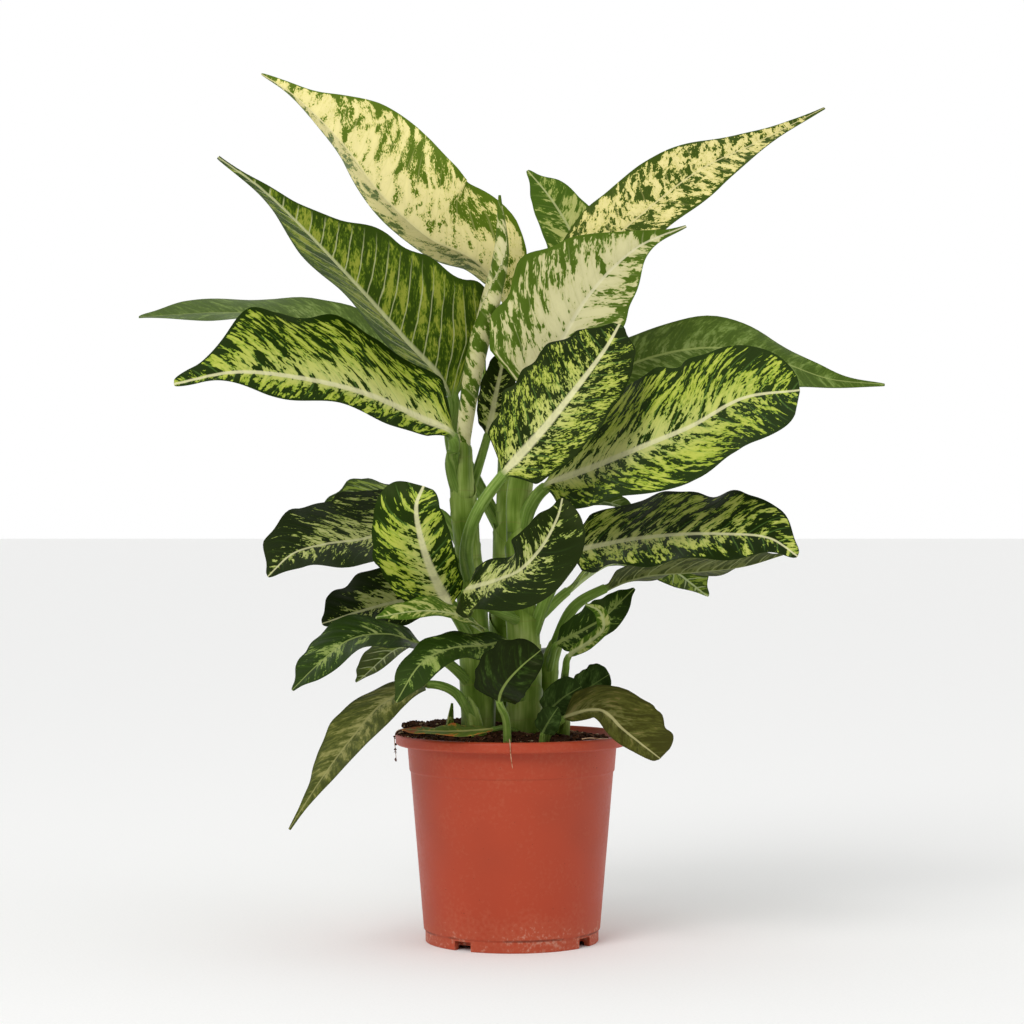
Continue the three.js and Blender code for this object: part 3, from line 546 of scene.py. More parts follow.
class Look(Enum):
    """The finishes of the leaves. Within one plant they run from nearly cream to plain green."""

    CREAM = LeafFinish(
        "dieffenbachia_leaf_cream",
        top=((0.43, "#587018"), (0.475, "#708826"), (0.498, "#A3AC44"), (0.515, "#DDD480"), (0.7, "#ECE09A")),
        under=((0.45, "#56641E"), (0.5, "#848C3E"), (0.54, "#C6BC76")),
        midrib="#E4DA9C", heart="#ECE0A2", vein="#D8CE84", near=0.65, far=0.505, fade_from=0.2,
        tip_fade=0.4, tip_span=(0.85, 0.97),
        blotch=(13.0, 19.0, 1.6), streak=(4.4, 5.6, 0.8), speck=(1.1, 1.3, 0.8),
    )
    FRECKLED = LeafFinish(
        "dieffenbachia_leaf_freckled_cream",
        top=((0.43, "#3C500E"), (0.475, "#586C1E"), (0.498, "#8E9A38"), (0.515, "#D2C976"), (0.7, "#E4D892")),
        under=((0.45, "#56641E"), (0.5, "#848C3E"), (0.54, "#C6BC76")),
        midrib="#DAD094", heart="#E2D89A", heart_share=0.2, vein="#C5BE76", near=0.555, far=0.50,
        fade_from=0.2, tip_fade=0.3, tip_span=(0.88, 0.97), rib_half=0.9,
        blotch=(9.0, 14.0, 1.3), streak=(3.4, 5.0, 1.0), speck=(1.2, 1.5, 0.7),
    )
    MILKY = LeafFinish(
        "dieffenbachia_leaf_milky",
        top=((0.42, "#4C6418"), (0.48, "#667C32"), (0.505, "#97A058"), (0.53, "#BFBC82"), (0.7, "#CBC694")),
        under=((0.42, "#5E7426"), (0.5, "#8E9C4C"), (0.56, "#BDBC7C")),
        midrib="#D4CFA6", heart="#CFCA9C", vein="#BFBE86", near=0.70, far=0.42, fade_from=0.05, tip_fade=0.26,
        blotch=(11.0, 20.0, 1.4), streak=(4.0, 6.5, 1.0), speck=(1.6, 2.2, 0.5), top_rough=0.5,
    )
    LIME = LeafFinish(
        "dieffenbachia_leaf_mottled",
        top=((0.45, "#1B2F04"), (0.482, "#2A4408"), (0.5, "#647F1C"), (0.52, "#8DA22E"), (0.72, "#B4BC50")),
        under=((0.44, "#33480E"), (0.5, "#566E1C"), (0.56, "#7E9234")),
        near=0.585, far=0.47, rib_half=3.4,
    )
    SPOTTED = LeafFinish(
        "dieffenbachia_leaf_dark_mottled",
        top=((0.45, "#152503"), (0.482, "#223806"), (0.5, "#58701A"), (0.52, "#8A9C34"), (0.7, "#BCC062")),
        under=((0.44, "#33480E"), (0.5, "#566E1C"), (0.56, "#7E9234")),
        near=0.53, far=0.455, rib_half=2.4, heart_share=0.45,
        blotch=(12.0, 20.0, 1.5), streak=(2.8, 5.2, 1.0),
    )
    SPECKLED = LeafFinish(
        "dieffenbachia_leaf_dark_speckled",
        top=((0.45, "#152503"), (0.482, "#223806"), (0.5, "#526A18"), (0.525, "#82942E"), (0.7, "#B0B656")),
        under=((0.44, "#33480E"), (0.5, "#566E1C"), (0.56, "#7E9234")),
        near=0.49, far=0.445, rib_half=3.0, heart_share=0.4,
        blotch=(9.0, 13.0, 1.1), streak=(2.1, 3.8, 1.2), speck=(1.1, 1.5, 0.7),
    )
    FLECKED = LeafFinish(
        "dieffenbachia_leaf_flecked",
        top=((0.45, "#142202"), (0.482, "#203406"), (0.5, "#546B20"), (0.52, "#8C9C42"), (0.7, "#B4B872")),
        under=((0.42, "#3A4A14"), (0.5, "#526722"), (0.58, "#74863A")),
        midrib="#C9C896", heart="#BFC07E", heart_share=0.45, vein="#2F4714", near=0.6, far=0.3,
        fade_from=0.05, fade_to=0.8, tip_fade=0.2, tip_span=(0.35, 0.97), rib_half=2.1,
        streak=(2.4, 5.0, 1.2), speck=(1.2, 1.8, 0.6),
    )
    SPARSE = LeafFinish(
        "dieffenbachia_leaf_sparsely_flecked",
        top=((0.44, "#22360A"), (0.485, "#304812"), (0.51, "#4E6624"), (0.55, "#6E8238"), (0.7, "#8A9850")),
        under=((0.42, "#3A4A14"), (0.5, "#526722"), (0.58, "#74863A")),
        midrib="#869450", heart_share=0.2, vein="#3F5A1C", near=0.435, far=0.33, fade_from=0.02, fade_to=0.7,
        rib_half=1.3, blotch=(14.0, 26.0, 1.2), streak=(3.0, 7.0, 0.8), top_rough=0.36,
    )
    DEEP = LeafFinish(
        "dieffenbachia_leaf_deep_green",
        top=((0.40, "#101C04"), (0.54, "#182706"), (0.66, "#22340C"), (0.78, "#34481A")),
        under=((0.42, "#32440E"), (0.5, "#415620"), (0.58, "#566C2C")),
        midrib="#7E8E48", heart_share=0.0, vein="#24380A", near=0.5, far=0.4, rib_half=1.0, top_rough=0.3,
    )
    ROUND = LeafFinish(
        "dieffenbachia_leaf_young_green",
        top=((0.38, "#253812"), (0.52, "#30451A"), (0.64, "#3E5424"), (0.8, "#566C36")),
        under=((0.42, "#32440E"), (0.5, "#415620"), (0.58, "#566C2C")),
        midrib="#6E8244", heart_share=0.0, vein="#34491E", near=0.5, far=0.44, rib_half=0.8, top_rough=0.45,
    )
    GREEN = LeafFinish(
        "dieffenbachia_leaf_green",
        top=((0.38, "#485E1E"), (0.52, "#556B27"), (0.62, "#617731"), (0.76, "#768A46")),
        under=((0.42, "#4C6224"), (0.5, "#5E7430"), (0.58, "#768A44")),
        midrib="#909E58", heart_share=0.1, vein="#66803A", near=0.5, far=0.46, rib_half=1.1, top_rough=0.42,
    )
    DULL = LeafFinish(
        "dieffenbachia_leaf_dull",
        top=((0.30, "#40471A"), (0.48, "#505622"), (0.62, "#63662E"), (0.80, "#87844C")),
        under=((0.40, "#38421A"), (0.5, "#465022"), (0.6, "#5E6634")),
        under_vein="#848C58", midrib="#8E8C56", heart_share=0.1, vein="#5C6230", near=0.58, far=0.44,
        rib_half=1.2, top_rough=0.55,
    )
    AGEING = LeafFinish(
        "dieffenbachia_leaf_ageing",
        top=((0.30, "#3F3E14"), (0.50, "#4D4E1C"), (0.66, "#5A5A26"), (0.80, "#74683A")),
        under=((0.40, "#46481C"), (0.5, "#5C5E2A"), (0.6, "#7D7A42")),
        midrib="#B3AC78", heart_share=0.1, vein="#6C6E36", near=0.53, far=0.46, rib_half=1.8, top_rough=0.55,
    )
    UNDERSIDE = LeafFinish(
        "dieffenbachia_leaf_underside",
        top=((0.44, "#17290A"), (0.5, "#2F4A12"), (0.54, "#6E8430"), (0.68, "#9CA650")),
        under=((0.38, "#334A0A"), (0.48, "#4A6212"), (0.55, "#687E1E"), (0.68, "#929A38")),
        under_vein="#BFC28E", near=0.52, far=0.46, rib_half=2.2, spacing=14.0, under_rough=0.5,
        blotch=(14.0, 22.0, 1.2), streak=(3.6, 5.6, 0.7), speck=(1.6, 2.2, 0.7),
    )
    PALE = LeafFinish(
        "dieffenbachia_leaf_pale",
        top=((0.42, "#476418"), (0.49, "#647C2A"), (0.52, "#8C9C48"), (0.66, "#B2B66C")),
        under=((0.42, "#566C24"), (0.5, "#748838"), (0.58, "#97A456")),
        midrib="#B6BC80", heart_share=0.3, vein="#8A9A48", near=0.54, far=0.45,
    )
    WILTED = LeafFinish(
        "dieffenbachia_leaf_wilted",
        top=((0.44, "#5A6C28"), (0.54, "#77802E"), (0.60, "#B07C36"), (0.7, "#B4602A")),
        under=((0.42, "#6F7A42"), (0.52, "#A08A42"), (0.62, "#AE7436")),
        midrib="#A8A662", heart_share=0.0, vein="#7F824A", near=0.24, far=0.42, fade_from=0.55, top_rough=0.6,
        tip_fade=-0.5, tip_span=(0.6, 0.97), margin_fade=-0.14,
    )


STEM = StemFinish("dieffenbachia_green_cane", grain=0.35, relief=0.3)
POT_PLASTIC = PotPlastic("moulded_polypropylene_terracotta", ior=1.49, grain=0.12, relief=0.15)
PEAT = PottingSoil("peat_potting_soil", specular=0.15, grain=1.0, relief=0.8)
ROOT = RootFinish("dry_fine_root", specular=0.2)
PAPER = PaperFloor("matt_studio_paper", specular=0.1, grain=0.1)


# ---- mesh helpers --------------------------------------------------------
FRONT = np.array((0.0, -1.0, 0.0))


class Route:
    """A smooth line through given points, read by its length."""

    SAMPLES = 90  # places worked out between one point and the next

    def __init__(self, points: tuple[tuple[float, ...], ...]) -> None:
        """Runs a centripetal spline through the points.

        Args:
            points: x, y, z and, where there is one, a radius, in mm.
        """
        all_points = np.array(points, float)
        places = all_points[:, :3]
        full = np.vstack([2 * places[0] - places[1], places, 2 * places[-1] - places[-2]])
        steps = np.linspace(0, 1, self.SAMPLES, endpoint=False)[:, None]
        runs = []
        for k in range(len(places) - 1):
            p0, p1, p2, p3 = full[k:k + 4]
            d0, d1, d2 = (math.sqrt(np.linalg.norm(b - a)) for a, b in ((p0, p1), (p1, p2), (p2, p3)))
            pull_in = ((p1 - p0) / d0 - (p2 - p0) / (d0 + d1) + (p2 - p1) / d1) * d1
            pull_out = ((p2 - p1) / d1 - (p3 - p1) / (d1 + d2) + (p3 - p2) / d2) * d1
            square = -3 * p1 + 3 * p2 - 2 * pull_in - pull_out
            cube = 2 * p1 - 2 * p2 + pull_in + pull_out
            runs.append(p1 + pull_in * steps + square * steps**2 + cube * steps**3)
        self.line = np.vstack([*runs, places[-1:]])
        self.reach = np.concatenate([[0], np.cumsum(np.linalg.norm(np.diff(self.line, axis=0), axis=1))])
        self.way = np.gradient(self.line, axis=0)
        if all_points.shape[1] > 3:
            knots = np.arange(len(places)) * self.SAMPLES
            self.radius = np.interp(np.arange(len(self.line)), knots, all_points[:, 3])

    @property
    def length(self) -> float:
        """The line's length in mm."""
        return float(self.reach[-1])

    def reach_at(self, index: int) -> float:
        """The length from the start to one of the points."""
        return float(self.reach[index * self.SAMPLES])

    def at(self, distance: float) -> tuple[Array, Array]:
        """Finds a place on the line.

        Args:
            distance: mm from the start.

        Returns:
            The place and the unit direction there.
        """
        place = np.array([np.interp(distance, self.reach, self.line[:, i]) for i in range(3)])
        way = np.array([np.interp(distance, self.reach, self.way[:, i]) for i in range(3)])
        return place, way / np.linalg.norm(way)

    def radius_at(self, distance: float) -> float:
        """The radius at a distance along a line that has radii."""
        return float(np.interp(distance, self.reach, self.radius))


def smooth(value: Any, low: float, high: float) -> Any:
    """Eases from 0 at low to 1 at high."""
    t = np.clip((value - low) / (high - low), 0, 1)
    return t * t * (3 - 2 * t)


def across_frame(way: Array, face: Array) -> tuple[Array, Array]:
    """Turns a direction and a rough facing into a square frame.

    Args:
        way: unit direction of the line.
        face: roughly where the top side looks.

    Returns:
        The unit normal and the unit side direction.
    """
    normal = face - np.dot(face, way) * way
    normal /= np.linalg.norm(normal)
    return normal, np.cross(way, normal)


def skin_faces(rings: int, across: int) -> Faces:
    """Lists the faces of a closed skin over rings of an upper and a lower row of points.

    Args:
        rings: how many rings there are.
        across: how many points each row has.

    Returns:
        The faces, each a tuple of point numbers.
    """
    faces: Faces = []
    row = 2 * across
    for k in range(rings - 1):
        here, ahead = k * row, (k + 1) * row
        for j in range(across - 1):
            faces.append((here + j, here + j + 1, ahead + j + 1, ahead + j))
            low, next_low = here + across + j, ahead + across + j
            faces.append((low + 1, low, next_low, next_low + 1))
        faces.append((here, ahead, ahead + across, here + across))
        last = across - 1
        faces.append((here + last, here + across + last, ahead + across + last, ahead + last))
    end = (rings - 1) * row
    for j in range(across - 1):
        faces.append((j, across + j, across + j + 1, j + 1))
        faces.append((end + j, end + j + 1, end + across + j + 1, end + across + j))
    return faces


def ring_faces(
    rows: int, around: int, closed: bool = False, capped: bool = False, offset: int = 0
) -> Faces:
    """Lists the faces between rows of points that each go once round.

    Args:
        rows: how many rows there are.
        around: how many points each row has.
        closed: whether the last row joins the first one.
        capped: whether one face closes each end.
        offset: the number of the first point.

    Returns:
        The faces, each a tuple of point numbers.
    """
    faces: Faces = []
    for k in range(rows if closed else rows - 1):
        here, ahead = k * around, ((k + 1) % rows) * around
        for j in range(around):
            nxt = (j + 1) % around
            faces.append((here + j, here + nxt, ahead + nxt, ahead + j))
    if capped:
        faces.append(tuple(reversed(range(around))))
        faces.append(tuple(range((rows - 1) * around, rows * around)))
    return [tuple(offset + i for i in face) for face in faces]


def turned_faces(rows: int, around: int) -> Faces:
    """Lists the faces of a turned shape, whose last two points close its first and last row.

    Args:
        rows: how many rows there are.
        around: how many points each row has.

    Returns:
        The faces, each a tuple of point numbers.
    """
    faces = ring_faces(rows, around)
    last, below = (rows - 1) * around, rows * around
    for j in range(around):
        nxt = (j + 1) % around
        faces.append((below, nxt, j))
        faces.append((last + j, last + nxt, below + 1))
    return faces


def round_row(route: Route, distance: float, angle: Array, radius: Any, face: Array = FRONT) -> Array:
    """Lays one row of points round a line.

    Args:
        route: the line.
        distance: mm from its start.
        angle: the angle of each point.
        radius: one radius, or one for each point.
        face: roughly where the quarter turn points.

    Returns:
        The points.
    """
    centre, way = route.at(distance)
    normal, side = across_frame(way, face)
    return centre + np.outer(radius * np.cos(angle), side) + np.outer(radius * np.sin(angle), normal)


def circle(count: int) -> Array:
    """Spaces angles evenly round a circle."""
    return np.linspace(0, 2 * math.pi, count, endpoint=False)


def polar(radius: float, turn: float) -> Span:
    """Finds the place on a circle round the origin."""
    return radius * math.cos(turn), radius * math.sin(turn)


def make_piece(
    name: str, points: Array, faces: Faces, finish: Finish,
    nodes: tuple[str, ...] = (), layers: dict[str, Array] | None = None, flat: bool = False,
) -> bpy.types.Object:
    """Makes one piece of the plant and hands it to the frame.

    Args:
        name: the piece's name.
        points: places in mm.
        faces: point numbers of each face.
        finish: what it is made of.
        nodes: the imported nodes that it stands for.
        layers: values or vectors for each point, by name.
        flat: whether its faces stay flat.

    Returns:
        The piece.
    """
    mesh = bpy.data.meshes.new(name)
    mesh.from_pydata((np.asarray(points) * MM).tolist(), [], faces)
    for layer, values in (layers or {}).items():
        values = np.asarray(values, np.float32)
        if values.ndim > 1:
            mesh.attributes.new(layer, "FLOAT_VECTOR", "POINT").data.foreach_set("vector", values.ravel())
        else:
            mesh.attributes.new(layer, "FLOAT", "POINT").data.foreach_set("value", values)
    mesh.materials.append(finish.material())
    mesh.validate()
    if flat:
        mesh.shade_flat()
    else:
        mesh.shade_smooth()
        mesh.set_sharp_from_angle(angle=SHARP_EDGE)
    piece = bpy.data.objects.new(name, mesh)
    bpy.context.collection.objects.link(piece)
    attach(piece, BODY)
    if nodes:
        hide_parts(*nodes)
    LOG.info("%s: %d faces", name, len(mesh.polygons))
    return piece


# ---- leaves --------------------------------------------------------------
class Detail(Enum):
    """How finely a leaf is split: points across, rings along the blade."""

    LARGE = (41, 92)
    MEDIUM = (31, 64)
    SMALL = (23, 44)


class Tip(Enum):
    """How a blade ends: where its narrowing begins and ends, and how much of the width it takes."""

    PLAIN = (0.86, 0.97, 0.45)
    DRAWN = (0.55, 0.95, 0.8)
    SHORT = (0.7, 0.92, 0.7)
    BLUNT = (0.9, 1.0, 0.0)


@dataclass
class Leaf:
    """One leaf, grown in one piece: stalk, midrib and blade. Sizes are in mm.

    stalk and rib are the points of the midrib, left and right the half widths looking from
    base to tip, face is where the top side looks, fold the degrees that each half rises from
    flat, wave and waves the height and number of the edge waves.
    """

    name: str
    slot: Slot
    look: Look
    detail: Detail
    radius: float
    stalk: tuple[Point, ...]
    rib: tuple[Point, ...]
    left: float
    right: float
    face: Point
    fold: Span
    wave: float
    waves: float
    peak: float = 0.43
    rise: float = 0.55
    skew: float = 0.0  # how much nearer the tip the right half is widest
    tip: Tip = Tip.PLAIN
    tip_half: float = 0.9  # half width that is left at the very tip
    thick: float = 0.66
    thin: float = 0.3  # how much thinner the margin is
    keel: float = 2.2  # how far the midrib stands out below, at the base
    blend: float = 0.09  # share of the blade over which the stalk turns into it
    lean: float = 0.65  # a side vein leans this much towards the tip
    curl: float = 0.007  # mm that it bends further forward over the square of its length
    swell: float = 0.35  # how much thicker the stalk's foot is
    stalk_rings: int = 18
    crowding: float = 1.45  # how much closer the points stand near the midrib
    groove: float = 0.34  # depth of the stalk's channel, as a share of its radius
    channel: Span = (2.1, 0.55)  # width and depth of the channel over the midrib
    uneven: float = 0.12  # how much the width strays
    quilt: Span = (0.9, 0.016)  # most mm that the skin bulges between veins, and share of the width

    def outline(self, v: float, skew: float) -> float:
        """Gives the half width of one side, as a share of its widest place.

        Args:
            v: the share of the blade from base to tip.
            skew: how much nearer the tip this side is widest.

        Returns:
            The share, 0 to 1.
        """
        peak = self.peak + skew
        fall = self.rise * (1 - peak) / peak
        widest = peak**self.rise * (1 - peak) ** fall
        shape = v**self.rise * max(0.0, 1 - v) ** fall / widest
        start, end, pinch = self.tip.value
        return shape * (1 - pinch * float(smooth(v, start, end)))

    def round_ring(
        self, centre: Array, way: Array, radius: float, across: int, groove: float
    ) -> tuple[Array, Array]:
        """Lays one ring of the stalk.

        Args:
            centre: its middle.
            way: the direction of the stalk.
            radius: its radius.
            across: how many points each row has.
            groove: how deep the channel on its top side is, as a share of the radius.

        Returns:
            The upper and the lower row.
        """
        normal, side = across_frame(way, np.array(self.face, float))
        angle = math.pi * (1 - (np.arange(across) + 0.5) / across)
        out = centre + np.outer(radius * np.cos(angle), side)
        dip = 1 - groove * np.exp(-((angle - math.pi / 2) / 0.42) ** 2)
        upper = out + np.outer(radius * np.sin(angle) * dip, normal)
        lower = out - np.outer(radius * np.sin(angle), normal)
        return upper, lower

    def blade_ring(
        self, centre: Array, way: Array, v: float, along: float, a: Array
    ) -> tuple[Array, Array, Array, Array]:
        """Lays one ring of the blade.

        Args:
            centre: its middle, on the midrib.
            way: the direction of the midrib.
            v: the share of the blade from base to tip.
            along: the same in mm.
            a: places across, from -1 to 1.

        Returns:
            The upper and the lower row, where each side vein starts, and mm from the midrib.
        """
        normal, side = across_frame(way, np.array(self.face, float))
        is_left = a < 0
        left = self.left * self.outline(v, -self.skew)
        right = self.right * self.outline(v, self.skew)
        half = np.where(is_left, left, right) + self.tip_half
        phase = np.where(is_left, 0.6, 2.4)
        ends = math.sin(math.pi * v)
        beat = 2 * math.pi * self.waves * v
        near, far = (noise.noise(Vector((8 * v, h + self.left, self.right))) for h in (1.0, 5.0))
        uneven = np.where(is_left, near, far)
        half = half * (1 + self.uneven * np.abs(a) * uneven)
        fold = np.radians(np.where(is_left, self.fold[0], self.fold[1]))
        x = a * half
        start = along - self.lean * np.abs(x) - self.curl * x**2
        spacing = self.look.value.spacing
        beside = np.sin(math.pi * np.abs(a)) * math.sqrt(max(0.0, ends))
        quilt = 0.5 * (1 - np.cos(2 * math.pi * start / spacing)) * beside
        bulge = min(self.quilt[0], self.quilt[1] * (self.left + self.right)) * quilt
        ripple = self.wave * (a**2 * np.sin(beat + phase) + 0.9 * np.abs(a) ** 3 * uneven) * ends
        height = np.abs(x) * np.sin(fold) + ripple + bulge
        body = (self.thick - self.thin * a**2) / 2
        width, depth = self.channel
        near_rib = np.exp(-((x / width) ** 2))
        out = centre + np.outer(x * np.cos(fold), side)
        upper = out + np.outer(height + body - depth * (1 - v) * near_rib, normal)
        lower = out + np.outer(height - body - self.keel * (1 - 0.75 * v) * near_rib, normal)
        return upper, lower, start, x

    def build(self, index: int) -> bpy.types.Object:
        """Makes the leaf.

        Args:
            index: the leaf's number, which shifts its flecks.

        Returns:
            The piece.
        """
        across, rings = self.detail.value
        route = Route((*self.stalk, *self.rib))
        base = route.reach_at(len(self.stalk))
        t = np.linspace(-1, 1, across)
        a = np.sign(t) * np.abs(t) ** self.crowding
        mark = 100.0 * index
        rows: list[Array] = []
        veins: list[Array] = []
        places: list[Array] = []

        def keep(upper: Array, lower: Array, start: Array, x: Array, v: float) -> None:
            """Stores one ring and its coordinates for the finish.

            Args:
                upper: the ring's upper row.
                lower: its lower row.
                start: mm along the midrib at which each point's side vein starts.
                x: mm from the midrib.
                v: the share of the blade from base to tip.
            """
            rows.extend((upper, lower))
            for top in (1.0, 0.0):
                veins.append(np.column_stack([start, x, np.full(across, mark)]))
                places.append(np.column_stack([np.abs(a), np.full(across, v), np.full(across, top)]))

        for k in range(self.stalk_rings + 1):
            share = k / self.stalk_rings
            centre, way = route.at(base * share)
            radius = self.radius * (1 + self.swell * (1 - share))
            upper, lower = self.round_ring(centre, way, radius, across, self.groove * (1 - 0.4 * share))
            angle = math.pi * (1 - (np.arange(across) + 0.5) / across)
            keep(upper, lower, np.full(across, base * (share - 1)), radius * angle, share - 1.02)
        steps = np.linspace(0, 1, rings + 1)[1:]
        for v in steps - 0.55 * np.sin(2 * math.pi * steps) / (2 * math.pi):
            along = (route.length - base) * v
            centre, way = route.at(base + along)
            upper, lower, start, x = self.blade_ring(centre, way, v, along, a)
            if v < self.blend:
                share = v / self.blend
                up, low = self.round_ring(centre, way, self.radius * 0.8, across, 0.2)
                upper, lower = up + (upper - up) * share, low + (lower - low) * share
            keep(upper, lower, start, x, v)
        return make_piece(
            self.name + "_blade", np.vstack(rows), skin_faces(len(rows) // 2, across), self.look.value,
            (self.name,), {"vein": np.vstack(veins), "place": np.vstack(places)},
        )


